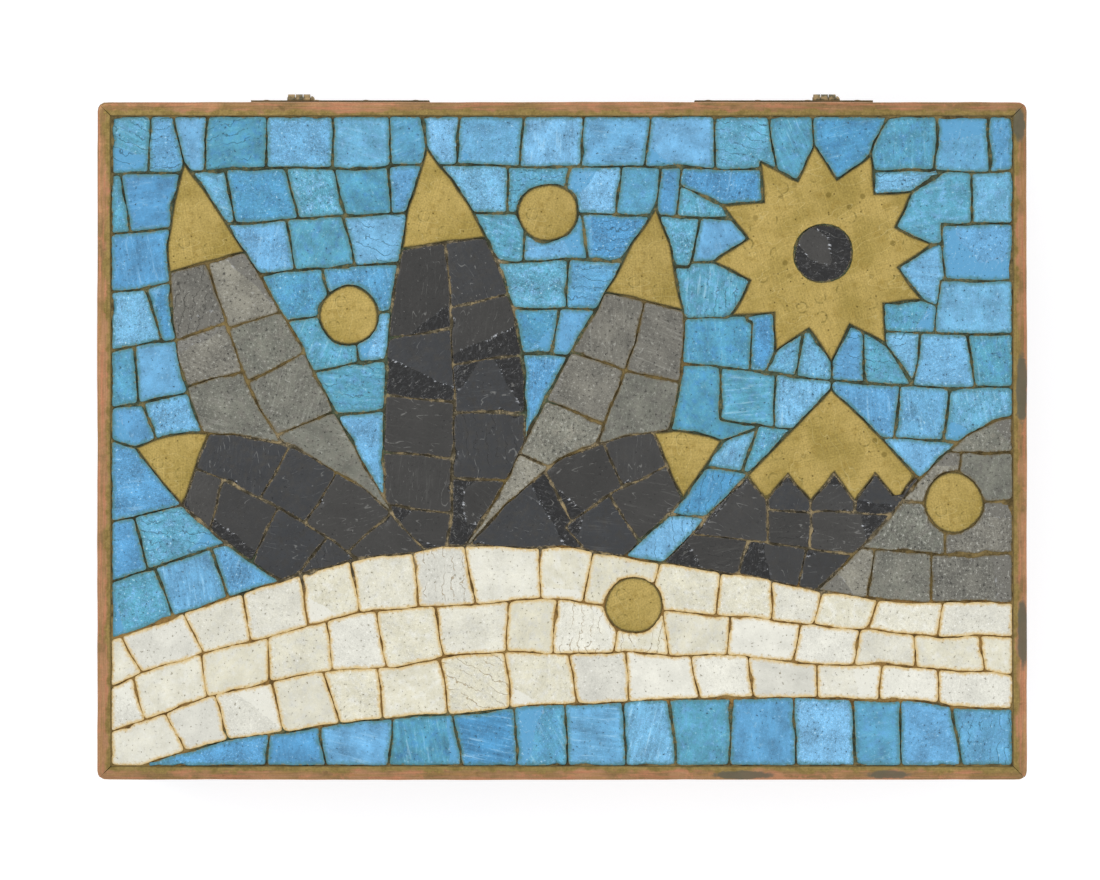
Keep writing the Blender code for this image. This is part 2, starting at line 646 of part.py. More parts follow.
class Cutting:
    """The panel cut into triangles, each of which belongs to a field and, in it, to one piece."""

    def __init__(self, fields):
        x, y = PANEL_WIDTH / 2, PANEL_DEPTH / 2
        panel = [(-x, -y), (x, -y), (x, y), (-x, y)]
        loops = [panel] + [field.outline for field in fields if field.outline]
        lines = [(joint, False) for field in fields for joint in field.joints]
        self.line_field = [None] * len(loops) + [i for i, field in enumerate(fields) for _ in field.joints]
        self.fields = fields
        self.verts, self.triangles, self.area, self.lies_on = triangulate(loops, lines)
        centres = self.verts[self.triangles].mean(axis=1)
        self.field_of = np.full(len(centres), -1)
        free = winding(centres, [panel]) != 0
        for i, field in enumerate(fields):
            hit = free & (winding(centres, [field.outline]) != 0) if field.outline else free
            self.field_of[hit] = i
            free = free & ~hit
        self.find_neighbours()
        self.keep_fields_whole()
        self.find_pieces()

    def find_neighbours(self):
        """Pairs of triangles on the panel that share an edge."""
        seen, self.pairs = {}, []
        for number in np.flatnonzero(self.field_of >= 0):
            a, b, c = (int(v) for v in self.triangles[number])
            for edge in ((a, b), (b, c), (c, a)):
                key = tuple(sorted(edge))
                if key in seen:
                    self.pairs.append((seen[key], number, key))
                seen[key] = number

    def edge_length(self, edge):
        return math.dist(self.verts[edge[0]], self.verts[edge[1]])

    def keep_fields_whole(self):
        """Gives each scrap that is cut off from its field to the field that it borders most."""
        while True:
            groups = Groups(len(self.field_of))
            for a, b, _ in self.pairs:
                if self.field_of[a] == self.field_of[b]:
                    groups.join(a, b)
            root = groups.roots()
            size = np.bincount(root, weights=self.area, minlength=len(root))
            main = {}
            for r in np.unique(root[self.field_of >= 0]):
                f = self.field_of[r]
                if f not in main or size[r] > size[main[f]]:
                    main[f] = r
            borders = {}
            for a, b, edge in self.pairs:
                for one, other in ((a, b), (b, a)):
                    scrap = root[one] != main[self.field_of[one]]
                    kept = root[other] == main[self.field_of[other]]
                    if scrap and kept and not self.fields[self.field_of[other]].is_plate:
                        key = (root[one], self.field_of[other])
                        borders[key] = borders.get(key, 0) + self.edge_length(edge)
            if not borders:
                return
            scraps = {}
            for (scrap, field), length in borders.items():
                if length > scraps.get(scrap, (0, None))[0]:
                    scraps[scrap] = (length, field)
            for scrap, (_, field) in scraps.items():
                self.field_of[root == scrap] = field

    def find_pieces(self):
        """Joins triangles that no joint of their field parts, then joins slivers to a neighbour."""
        groups = Groups(len(self.field_of))
        for a, b, edge in self.pairs:
            crossed = {self.line_field[line] for line in self.lies_on.get(edge, ())}
            if self.field_of[a] == self.field_of[b] and self.field_of[a] not in crossed:
                groups.join(a, b)
        while self.join_slivers(groups):
            pass
        self.piece_of = groups.roots()

    def join_slivers(self, groups):
        """Joins each piece that is too small or too thin to the neighbour that it shares most edge with."""
        root = groups.roots()
        size = np.bincount(root, weights=self.area, minlength=len(root))
        shared, around = {}, {}
        for a, b, edge in self.pairs:
            if root[a] == root[b]:
                continue
            length = self.edge_length(edge)
            for one, other in ((root[a], root[b]), (root[b], root[a])):
                around[one] = around.get(one, 0) + length
                if self.field_of[one] == self.field_of[other]:
                    shared.setdefault(one, {}).setdefault(other, 0)
                    shared[one][other] += length
        touched = set()
        for piece in sorted(shared, key=lambda piece: (size[piece], piece)):
            thin = 2 * size[piece] / around[piece] < THINNEST_PIECE * TESSERA
            if size[piece] > SMALLEST_PIECE * TESSERA**2 and not thin:
                continue
            best = max(shared[piece], key=shared[piece].get)
            if piece not in touched and best not in touched:
                groups.join(piece, best)
                touched |= {piece, best}
        return bool(touched)

    def loops(self, chosen):
        """The closed outlines round the chosen triangles, with the inside on their left."""
        ends = set()
        for number in np.flatnonzero(chosen):
            a, b, c = (int(v) for v in self.triangles[number])
            for edge in ((a, b), (b, c), (c, a)):
                if edge[::-1] in ends:
                    ends.discard(edge[::-1])
                else:
                    ends.add(edge)
        onward = {}
        for start, end in sorted(ends):
            onward.setdefault(start, []).append(end)
        made = []
        while onward:
            first = at_vertex = min(onward)
            loop = []
            while not loop or at_vertex != first:
                loop.append(tuple(self.verts[at_vertex]))
                after = onward[at_vertex].pop()
                if not onward[at_vertex]:
                    del onward[at_vertex]
                at_vertex = after
            made.append(loop)
        return made


def simplified(loop, flat, shortest=0.0):
    """The loop without corners that lie within flat of their neighbours' chord, or that end a short side."""
    points = list(loop)
    i = checked = 0
    while checked < len(points) and len(points) > 3:
        a, b, c = points[i - 1], points[i], points[(i + 1) % len(points)]
        chord = math.dist(a, c)
        off = abs((c[0] - a[0]) * (b[1] - a[1]) - (c[1] - a[1]) * (b[0] - a[0])) / max(chord, WELD)
        if off < flat or (math.dist(a, b) < shortest and off < shortest / 2):
            points.pop(i)
            i %= len(points)
            checked = 0
        else:
            i = (i + 1) % len(points)
            checked += 1
    return points


def meeting(first, second):
    """Where the lines through two sides meet, or the middle between them if they run alike."""
    (ax, ay), (bx, by) = first
    (cx, cy), (dx, dy) = second
    turn = (bx - ax) * (dy - cy) - (by - ay) * (dx - cx)
    least_angle = 1e-3
    if abs(turn) < least_angle * math.dist(*first) * math.dist(*second):
        return (bx + cx) / 2, (by + cy) / 2
    share = ((cx - ax) * (dy - cy) - (cy - ay) * (dx - cx)) / turn
    return ax + share * (bx - ax), ay + share * (by - ay)


def inset(loop, distance):
    """The loop moved to its left by the distance; a side that would turn round is dropped, shortest first."""
    sides = list(zip(loop, loop[1:] + loop[:1]))
    while len(sides) > 2:
        moved = []
        for (ax, ay), (bx, by) in sides:
            length = math.dist((ax, ay), (bx, by))
            dx, dy = (bx - ax) / length, (by - ay) / length
            shift = (-dy * distance, dx * distance)
            moved.append(((ax + shift[0], ay + shift[1]), (bx + shift[0], by + shift[1])))
        corners = [meeting(moved[i - 1], moved[i]) for i in range(len(moved))]
        turned = []
        for i, ((ax, ay), (bx, by)) in enumerate(moved):
            p, q = corners[i], corners[(i + 1) % len(corners)]
            if (q[0] - p[0]) * (bx - ax) + (q[1] - p[1]) * (by - ay) <= 0:
                turned.append((math.dist(*sides[i]), i))
        if not turned:
            return corners
        gone = min(turned)[1]
        before, after = gone - 1, (gone + 1) % len(sides)
        corner = meeting(sides[before], sides[after])
        sides[before] = (sides[before][0], corner)
        sides[after] = (corner, sides[after][1])
        sides.pop(gone)
    return []


# Mosaic

def raise_faces(shape, faces, height):
    """Extrudes the faces up to a height and returns their raised copies.

    Faces that others surround leave nothing behind, and a loose sheet keeps its lower side.
    """
    edges = list(dict.fromkeys(edge for face in faces for edge in face.edges))
    grown = bmesh.ops.extrude_face_region(shape, geom=faces + edges)["geom"]
    for part in grown:
        if isinstance(part, bmesh.types.BMVert):
            part.co.z = height
    return [part for part in grown if isinstance(part, bmesh.types.BMFace)]


def field_mesh(name, patch, tesserae, rng):
    """Mortar over the patch up to the bottom of the joints, with every tessera standing from it.

    The plan is triangulated once and raised as a slab, and then the tesserae's faces are raised from its top,
    each to its own uneven height. The mortar's faces take the second material.
    """
    verts, triangles, area, _ = triangulate(patch + [loop for tessera in tesserae for loop in tessera])
    centres = verts[triangles].mean(axis=1)
    on_patch = (winding(centres, patch) > 0) & (area > 0)
    tessera_of = np.zeros(len(triangles), int)
    for number, tessera in enumerate(tesserae, 1):
        tessera_of[winding(centres, tessera) > 0] = number
    shape = bmesh.new()
    layer = shape.faces.layers.int.new("tessera")
    corners = {int(v): shape.verts.new((*verts[v], MOSAIC_BOTTOM)) for v in np.unique(triangles[on_patch])}
    for number in np.flatnonzero(on_patch):
        face = shape.faces.new([corners[int(v)] for v in triangles[number]])
        face[layer] = int(tessera_of[number])
    joint_floor = MOSAIC_TOP - JOINT_DEPTH
    slab_top = raise_faces(shape, list(shape.faces), joint_floor)
    heights = [MOSAIC_TOP + rng.uniform(-1, 1) * UNEVENNESS for _ in tesserae]
    for face in raise_faces(shape, [face for face in slab_top if face[layer]], MOSAIC_TOP):
        for vert in face.verts:
            vert.co.z = heights[face[layer] - 1]
    for face in shape.faces:
        face.material_index = 0 if face.calc_center_median().z > joint_floor + UNEVENNESS / 2 else 1
    bmesh.ops.recalc_face_normals(shape, faces=shape.faces)
    mesh = bpy.data.meshes.new(name)
    shape.to_mesh(mesh)
    shape.free()
    return mesh


def add_mosaic(lid):
    """Lays each field of the picture: plates as flat brass or glass, the others as tesserae in mortar."""
    cutting = Cutting(picture())
    rng = random.Random(SEED + 1)
    for number, field in enumerate(cutting.fields):
        own = cutting.field_of == number
        patch = [inset(simplified(loop, STRAIGHT), GAP / 2) for loop in cutting.loops(own)]
        if field.is_plate:
            plate = plate_curve(field.name, patch, MOSAIC_BOTTOM, MOSAIC_TOP - PLATE_LIES_LOW)
            add_piece(field.name, plate, field.finish, lid)
            continue
        tesserae = []
        for piece in np.unique(cutting.piece_of[own]):
            outlines = cutting.loops(own & (cutting.piece_of == piece))
            inner = [inset(simplified(loop, NEARLY_STRAIGHT, SHORTEST_SIDE), JOINT / 2) for loop in outlines]
            tesserae.append([loop for loop in inner if loop])
        mesh = field_mesh(field.name, patch, tesserae, rng)
        add_piece(field.name, mesh, field.finish, lid)
        mesh.materials.append(new_material(f"{field.name}_mortar", MORTAR))


clear_scene()
BOX = new_collection("mosaic_box")
CUTTERS = new_collection("cutters")
lid_hinge = bpy.data.objects.new("lid_hinge", None)
BOX.objects.link(lid_hinge)
lid_hinge.location = (0, HINGE_Y, HINGE_Z)
bpy.context.view_layer.update()
add_case()
add_lid_frame(lid_hinge)
add_hinges(lid_hinge)
add_mosaic(lid_hinge)
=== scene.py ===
"""Looks of the mosaic box: copper rim and case, cedar lining, and a lid of hand-cut glass, brass and mortar.

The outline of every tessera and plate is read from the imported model. Each is then built again as a surface of
two parameters, one round its outline and one from its foot, up its side and over its edge to its middle, with
the chips, ripples and broken facets of cut glass.
"""
import math
from dataclasses import dataclass
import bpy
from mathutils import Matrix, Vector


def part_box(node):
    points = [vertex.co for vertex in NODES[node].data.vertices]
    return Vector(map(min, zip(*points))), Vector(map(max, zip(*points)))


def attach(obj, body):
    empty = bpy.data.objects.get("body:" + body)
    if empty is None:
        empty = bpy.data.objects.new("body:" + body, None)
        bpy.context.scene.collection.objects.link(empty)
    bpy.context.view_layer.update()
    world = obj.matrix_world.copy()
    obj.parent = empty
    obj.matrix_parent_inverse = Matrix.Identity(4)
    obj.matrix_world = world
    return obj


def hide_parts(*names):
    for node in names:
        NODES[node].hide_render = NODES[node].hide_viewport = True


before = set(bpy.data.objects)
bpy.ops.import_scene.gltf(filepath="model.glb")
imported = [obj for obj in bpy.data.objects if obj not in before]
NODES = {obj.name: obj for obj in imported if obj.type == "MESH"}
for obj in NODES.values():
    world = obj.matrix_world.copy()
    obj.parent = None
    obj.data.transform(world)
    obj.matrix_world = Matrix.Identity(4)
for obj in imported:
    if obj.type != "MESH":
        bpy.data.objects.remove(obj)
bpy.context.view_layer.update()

from types import SimpleNamespace

import bpy
import numpy as np
from bpy.props import FloatProperty, FloatVectorProperty, PointerProperty
from bpy.types import Operator, Panel, PropertyGroup

bl_info = {
    "name": "Mosaic Box",
    "version": (1, 0, 0),
    "blender": (4, 5, 0),
    "location": "View3D > Sidebar > Mosaic Box",
    "description": "Dresses a hinged box in copper, cedar, glass tesserae, brass and mortar",
    "category": "Object",
}

SLOT_OF = {name: node.material_slots[0].material.name.split(".")[0] for name, node in NODES.items()}
GLASSES = ("turquoise_glass", "white_glass", "grey_glass", "black_glass")
# The box's sides, each with its quarter turns from the front
SIDES = {"front": 0, "right": 1, "back": 2, "left": 3}
MM = 0.001
SEED = 5

# Heights and edges that the pieces share, read from the frame
LID_LOW, LID_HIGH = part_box("rim_front")
LID_TOP, LID_BOTTOM = LID_HIGH.z, LID_LOW.z
HALF_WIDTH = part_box("rim_right")[1].x
HALF_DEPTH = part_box("rim_back")[1].y
RIM_WIDTH = HALF_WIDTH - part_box("rim_right")[0].x
CASE_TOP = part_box("case_front_sheet")[1].z
SHEET_THICKNESS = HALF_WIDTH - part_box("case_right_sheet")[0].x
PANEL_HALF_WIDTH, PANEL_HALF_DEPTH, BED_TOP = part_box("mortar_bed")[1]

# Copper strips: the box's corners, the gap at a mitre, eased edges, steps from end to end, ripples and dents
CORNER_RADIUS = 1.9 * MM
MITRE_SETBACK = 0.07 * MM
RIM_EASE, RIM_INNER_EASE = 0.45 * MM, 0.2 * MM
SHEET_EASE = 0.25 * MM
RIM_STEPS, SHEET_STEPS = 150, 130
RIM_RIPPLE = 0.08 * MM
DENT_DEPTH = 0.28 * MM
# Noises that dent the sheets: each one's seed, size in millimetres and share
DENTS = ((90, 19, 0.7), (95, 7, 0.3))

# Hinge leaves, as in the CAD model, and the heads of their nails, at these shares of a leaf's length
HINGE_LEAF_HEIGHT = 9 * MM
HINGE_LEAF_THICKNESS = 0.4 * MM
NAIL_RADIUS = 1.1 * MM
NAIL_RISE = 0.45 * MM
NAIL_SIDES = 20
NAIL_PLACES = (0.08, 0.36, 0.64, 0.92)

# The mosaic: flat tops above this height are tesserae and plates
TOPS_ABOVE = BED_TOP + 4 * MM
# How far the pieces along the rim move out towards it, and how near they may come. The move begins this many
# millimetres in from the panel's edge, and is whole 1 mm further out
RIM_PUSH = 0.14 * MM
LEAST_AT_RIM = 0.12 * MM
PUSH_BEGINS = 1.3
# How far the slow waves of the courses take to fade out towards the rim
COURSE_FADE = 5 * MM
# Points round an outline: the usual number for glass and for brass, and the numbers of a few nodes
GLASS_POINTS, BRASS_POINTS = 112, 96
MORE_OR_FEWER_POINTS = {"sky_tesserae": 88, "sun_plate": 288, "mountain_cap": 176}
# A cut piece: how far in its foot lies, how deep a chip or facet may be, and how far in a chip's hollow fades
FOOT_INSET = 0.3 * MM
DEEPEST_BREAK = 0.34 * MM
CHIP_REACH = 0.9 * MM
# The least and greatest width of a chip in millimetres
CHIP_WIDTHS = (0.9, 2.4)
# A broken facet: where it begins, as a share of the way out, how steeply it falls, and how wide its start is
FACET_STARTS = (0.15, 0.85)
FACET_SLOPES = (0.04, 0.30)
FACET_BLEND = 2 * MM
# The waviness of a broken facet: its size and its height
SHELL_SIZE, SHELL_WAVE = 3.1 * MM, 0.45 * MM
# Layers of noise, each a size in millimetres and a share: of a cut edge, of a face's ripples, of the slow
# waves of the courses and of the mortar's rise and fall
EDGE_LAYERS = ((3.4, 0.55), (0.9, 0.45))
RIPPLE_LAYERS = ((4.3, 0.7), (1.6, 0.3))
COURSE_LAYERS = ((8.5, 0.42), (3.6, 0.18))
MORTAR_LAYERS = ((5.2, 0.6), (1.9, 0.4))
# How far apart two pieces of a field lie in the noise of their ripples and in that of their grain. A grain
# runs along X or Y, turned by about so many radians
RIPPLES_APART, GRAINS_APART = 0.37 + 0.23j, 0.131 + 0.177j
GRAIN_TURN = 0.25
# Steps from a piece's foot to its middle: turns over its edge, and shares of the way in
EDGE_TURNS = np.radians([0, 32, 62, 90])
INNER_STEPS = np.array([0.06, 0.16, 0.30, 0.45, 0.60, 0.75, 0.89])
# Where a piece's pole may be: places across its width, and how far inside every side's line it should lie
POLE_STEPS = 17
POLE_DEPTH = 0.4 * MM

# The mortar's grid, how far it runs under the rim, and the bank of mortar that stands along the rim
MORTAR_COLUMNS, MORTAR_ROWS = 352, 254
MORTAR_UNDER_RIM = 0.05 * MM
BANK_RISE = 0.38 * MM
BANK_WIDTH = 0.5 * MM

# Dark tarnish on the rim, in millimetres from the lid's middle: each patch's middle and its reaches
TARNISH = (
    ((100.4, 11.7), (1.3, 8.2)),
    ((100.6, -41.8), (1.3, 8.0)),
    ((99.8, 68.8), (1.4, 3.6)),
    ((39.4, -72.9), (7.2, 1.0)),
    ((71.2, -72.8), (5.0, 1.0)),
)

# The lid in the picture: its middle and its width in pixels of the whole picture
PICTURE_SIZE = (1100, 880)
LID_MIDDLE_IN_PICTURE = (562, 441)
LID_WIDTH_IN_PICTURE = 930

# Lamps: their place, their width and their share of the lamp's power
LAMPS = {
    "large_lamp": ((-0.75, 0.65, 1.35), 0.9, 1.0),
    "small_lamp": ((0.85, -0.55, 1.25), 0.6, 0.6),
}
FLOOR_SIZE = 6
FLOOR_GAP = 0.2 * MM


def srgb(red, green, blue):
    """Linear light of a colour given in sRGB bytes."""
    shares = (red / 255, green / 255, blue / 255)
    return tuple(s / 12.92 if s <= 0.04045 else ((s + 0.055) / 1.055) ** 2.4 for s in shares)


def tinted(paint, *factors):
    """A colour with its three parts scaled, by one factor or by one each."""
    factors = factors * 3 if len(factors) == 1 else factors
    return tuple(min(1.0, part * factor) for part, factor in zip(paint, factors))


# Settings that a user would change

def length(name, description, default):
    return FloatProperty(name=name, description=description, default=default, min=0, unit="LENGTH",
                         precision=5)


def colour(name, description, *default):
    return FloatVectorProperty(name=name, description=description, default=srgb(*default), size=3,
                               subtype="COLOR", min=0, max=1)


class GlassSettings(PropertyGroup):
    """Cut and colours of the glass."""
    edge: length("Edge", "Radius of a tessera's eased edge", 0.16 * MM)
    wander: length("Wander", "How far a cut edge strays from a straight line", 0.22 * MM)
    chip: length("Chip", "Depth of a large chip in an edge", 0.60 * MM)
    crown: length("Crown", "Rise of a tessera's middle over its edge", 0.10 * MM)
    ripple: length("Ripple", "Height of the ripples on a tessera's face", 0.07 * MM)
    turquoise: colour("Turquoise", "Middle colour of the turquoise glass", 86, 152, 203)
    white: colour("White", "Middle colour of the white glass", 220, 219, 208)
    grey: colour("Grey", "Middle colour of the grey glass", 116, 114, 106)
    black: colour("Black", "Middle colour of the black glass", 45, 44, 42)


class MortarSettings(PropertyGroup):
    """Mortar between the tesserae."""
    fill: length("Fill", "Mean height of the mortar over the bottom of the joints", 0.26 * MM)
    roughness: length("Roughness", "How much the mortar rises and falls", 0.10 * MM)
    dark: colour("Dark", "Colour of the mortar between turquoise glass", 78, 90, 72)
    brown: colour("Brown", "Colour of the mortar between white glass", 146, 114, 64)
    smear: colour("Smear", "Colour of the mortar left on the edges of white glass", 190, 156, 92)
    ochre: colour("Ochre", "Colour of the mortar between grey glass and at the rim", 122, 102, 62)
    crumbs: colour("Crumbs", "Colour of the loose crumbs between black glass", 176, 160, 130)


class MetalSettings(PropertyGroup):
    """Finishes of the metal parts."""
    wobble: length("Wobble", "How far the hand-filed rim strays from straight", 0.13 * MM)
    copper: colour("Copper", "Colour of the rim's outer part", 176, 134, 100)
    brassy: colour("Brassy copper", "Colour of the rim's inner part", 158, 136, 84)
    brass: colour("Brass", "Colour of the plates", 172, 151, 88)
    hinge: colour("Hinge", "Colour of the hinges", 116, 98, 70)


class WoodSettings(PropertyGroup):
    """Finishes of the wooden parts."""
    cedar: colour("Cedar", "Colour of the lining", 146, 92, 60)
    pine: colour("Pine", "Colour of the lid's board", 190, 152, 104)


class StageSettings(PropertyGroup):
    """Floor, light and camera."""
    floor: colour("Floor", "Colour of the floor", 224, 230, 235)
    sky: FloatProperty(name="Sky", description="Strength of the light from all round", default=0.86, min=0)
    lamp: FloatProperty(name="Lamp", description="Power of the large lamp", default=5.0, min=0, unit="POWER")
    camera_height: length("Camera height", "Distance from the camera to the lid", 1.0)


# Shaders

def arithmetic(operation, reflected=False):
    """A Signal's method that adds a Math node, with its operands the other way round when it is reflected."""

    def method(self, other=0.0):
        first, second = (other, self) if reflected else (self, other)
        return self.finish.node("Math", {"operation": operation}, {0: first, 1: second})

    return method


class Signal:
    """The output of a shader node. Arithmetic on it adds a Math node and gives that node's output."""

    __add__, __radd__ = arithmetic("ADD"), arithmetic("ADD", reflected=True)
    __sub__, __rsub__ = arithmetic("SUBTRACT"), arithmetic("SUBTRACT", reflected=True)
    __mul__, __rmul__ = arithmetic("MULTIPLY"), arithmetic("MULTIPLY", reflected=True)
    __truediv__, __rtruediv__ = arithmetic("DIVIDE"), arithmetic("DIVIDE", reflected=True)
    __abs__, fraction, root = arithmetic("ABSOLUTE"), arithmetic("FRACT"), arithmetic("SQRT")
    least, most = arithmetic("MINIMUM"), arithmetic("MAXIMUM")

    def __init__(self, finish, socket):
        self.finish, self.socket = finish, socket

    def rising(self, low, high, bottom=0.0, top=1.0):
        """0 below low, 1 above high and an S-shaped curve between them."""
        sockets = {"Value": self, "From Min": low, "From Max": high, "To Min": bottom, "To Max": top}
        return self.finish.node("MapRange", {"interpolation_type": "SMOOTHSTEP"}, sockets)

    def falling(self, low, high):
        """1 below low and 0 above high."""
        return self.rising(low, high, 1.0, 0.0)


def varied(middle, *noises):
    """A middle value with noises added about it, each with its strength."""
    for noise, strength in noises:
        middle = middle + (noise - 0.5) * strength
    return middle


class Finish:
    """A material on a Principled shader that is built node by node. Sizes are in millimetres."""

    MIX_FACTOR, MIX_FIRST, MIX_SECOND, MIX_RESULT = 0, 6, 7, 2

    def __init__(self, name, constants):
        self.material = bpy.data.materials.new(name)
        self.material.use_nodes = True
        self.tree = self.material.node_tree
        self.shader = self.tree.nodes["Principled BSDF"]
        for socket, value in constants.items():
            self.shader.inputs[socket].default_value = value

    def feed(self, socket, value):
        """Gives a socket another node's output or a value of its own."""
        if isinstance(value, Signal):
            self.tree.links.new(value.socket, socket)
        elif socket.type == "RGBA" and len(value) == 3:
            socket.default_value = (*value, 1)
        else:
            socket.default_value = value

    def node(self, kind, settings=None, sockets=None, output=0):
        """Adds a node: its settings are set first, then its sockets take values or other nodes' outputs."""
        made = self.tree.nodes.new(f"ShaderNode{kind}")
        for name, value in (settings or {}).items():
            setattr(made, name, value)
        for key, value in (sockets or {}).items():
            self.feed(made.inputs[key], value)
        return Signal(self, made.outputs[output])

    def output(self, **sockets):
        """Feeds the Principled shader's own sockets."""
        for name, value in sockets.items():
            self.feed(self.shader.inputs[name.replace("_", " ").title()], value)
        return self.material

    def attributes(self, *names):
        """Numbers that the piece's mesh holds at its points."""
        return [self.node("Attribute", {"attribute_name": name}, output="Fac") for name in names]

    def run(self):
        """The piece's own UV map, in metres along and across its grain."""
        return self.node("UVMap", {"uv_map": "run"})

    def place(self):
        """The place in the object's own coordinates, in metres."""
        return self.node("TexCoord", output="Object")

    def part(self, where, axis):
        """One part of a place: its X, Y or Z."""
        return self.node("SeparateXYZ", {}, {0: where}, axis)

    def from_outside(self, place):
        """How far in a place is from the box's nearest outer side."""
        x, y = abs(self.part(place, "X")), abs(self.part(place, "Y"))
        return (HALF_WIDTH - x).least(HALF_DEPTH - y) / MM

    def stretched(self, where, scale, turn=(0, 0, 0)):
        """Places scaled and turned, so that a pattern on them is drawn out along one way."""
        return self.node("Mapping", {}, {"Vector": where, "Scale": scale, "Rotation": turn})

    def noise(self, size, where, detail, roughness, distortion=0.0):
        """Cloudy noise between about 0.2 and 0.8 with features of the given size."""
        return self.node("TexNoise", {}, {"Vector": where, "Scale": 1 / (size * MM), "Detail": detail,
                                          "Roughness": roughness, "Distortion": distortion})

    def cells(self, spacing, where):
        """A jittered flat lattice: how many cells away the nearest place is, and that place's own chance."""
        near = self.node("TexVoronoi", {"voronoi_dimensions": "2D"},
                         {"Vector": where, "Scale": 1 / (spacing * MM)}, "Distance")
        shade = Signal(self, near.socket.node.outputs["Color"])
        return near, self.node("SeparateColor", {}, {0: shade}, "Red")

    def specks(self, spacing, where, radius, kept):
        """Round specks at a share of a lattice's places."""
        near, chance = self.cells(spacing, where)
        return near.falling(radius / spacing * 0.6, radius / spacing) * chance.falling(kept * 0.4, kept)

    def rings(self, spacing, where, radius, width, kept):
        """Thin rings round a share of a lattice's places."""
        near, chance = self.cells(spacing, where)
        return abs(near - radius / spacing).falling(0, width / spacing) * chance.falling(kept * 0.9, kept)

    def lines(self, size, where, width):
        """Thin winding lines: where cloudy noise passes through its middle value."""
        return abs(self.noise(size, where, 2, 0.6) - 0.5).falling(0, width)

    def coated(self, paint, *coats):
        """A paint under coats, each a mask and a colour."""
        for mask, coat in coats:
            sockets = {self.MIX_FACTOR: mask, self.MIX_FIRST: paint, self.MIX_SECOND: coat}
            paint = self.node("Mix", {"data_type": "RGBA"}, sockets, self.MIX_RESULT)
        return paint

    def brighter(self, paint, factor):
        """A paint made lighter above a factor of 1, and darker below it."""
        return self.node("VectorMath", {"operation": "SCALE"}, {0: paint, "Scale": factor})

    def relief(self, *layers):
        """A normal that stands for reliefs one on another, each a height between 0 and 1 and its depth."""
        under = {}
        for height, depth in layers:
            normal = self.node("Bump", {}, {"Height": height, "Distance": depth * MM, **under})
            under = {"Normal": normal}
        return normal


def glass_looks(glass, mortar):
    """How each glass is coloured, marked and broken, by material slot.

    A row has a value for turquoise, for white, for grey and for black glass. Lengths are in millimetres.
    """
    turquoise, white, grey, black = glass.turquoise, glass.white, glass.grey, glass.black
    rows = {
        # Colours of the glass, of a fresh break in it and of each mark on it
        "deep": (tinted(turquoise, 0.54, 0.80, 0.82), tinted(white, 0.86), tinted(grey, 0.70),
                 tinted(black, 0.70)),
        "pale": (tinted(turquoise, 1.85, 1.38, 1.15), tinted(white, 1.07), tinted(grey, 1.35, 1.34, 1.26),
                 tinted(black, 1.45)),
        "other": (tinted(turquoise, 0.78, 1.00, 0.74), tinted(white, 0.94, 0.91, 0.80),
                  tinted(grey, 0.90, 0.96, 0.90), tinted(black, 0.84, 0.98, 1.24)),
        "fresh": (tinted(turquoise, 1.02, 1.08, 0.98), tinted(white, 1.06), tinted(grey, 0.82),
                  srgb(7, 7, 9)),
        "stain": (srgb(66, 120, 118), srgb(212, 184, 122), srgb(104, 94, 68), srgb(62, 56, 46)),
        "smear": (srgb(142, 134, 94), tuple(mortar.smear), srgb(120, 104, 70), tinted(mortar.crumbs, 0.6)),
        "crack": (srgb(34, 80, 96), srgb(150, 126, 84), srgb(48, 48, 42), srgb(28, 28, 27)),
        "speck": (srgb(186, 222, 234), srgb(246, 246, 242), srgb(176, 176, 168), srgb(138, 138, 134)),
        "pit": (srgb(28, 66, 84), srgb(138, 128, 100), srgb(46, 46, 40), srgb(12, 12, 12)),
        # How strongly each mark shows, and how far it reaches
        "mottle": (1.40, 0.52, 1.35, 0.65),
        "veins": (1.20, 0.20, 0.60, 0.30),
        "stain_strength": (0.80, 0.90, 0.60, 0.55),
        "stain_reach": (1.15, 1.00, 0.50, 0.35),
        "smear_reach": (0.22, 0.50, 0.30, 0.18),
        "speck_limit": (0.634, 0.650, 0.610, 0.680),
        "pit_limit": (0.352, 0.355, 0.375, 0.340),
        "scuffs": (0.15, 0.0, 0.50, 0.50),
        # Strength of the painted glints: highlights painted along the edges of broken facets
        "glint": (0.20, 0.20, 0.30, 0.80),
        # Gloss and relief, how often a facet is broken off, and how much a tessera fills of its joint
        "roughness": (0.34, 0.42, 0.50, 0.36),
        "fresh_roughness": (0.18, 0.28, 0.30, 0.14),
        "relief": (1.1, 1.0, 1.5, 0.9),
        "shell_depth": (0.15, 0.10, 0.20, 0.40),
        "faceted": (0.07, 0.07, 0.08, 0.26),
        "grown": (0.04, 0.16, 0.06, 0.07),
    }
    return {slot: SimpleNamespace(**{word: row[number] for word, row in rows.items()})
            for number, slot in enumerate(GLASSES)}


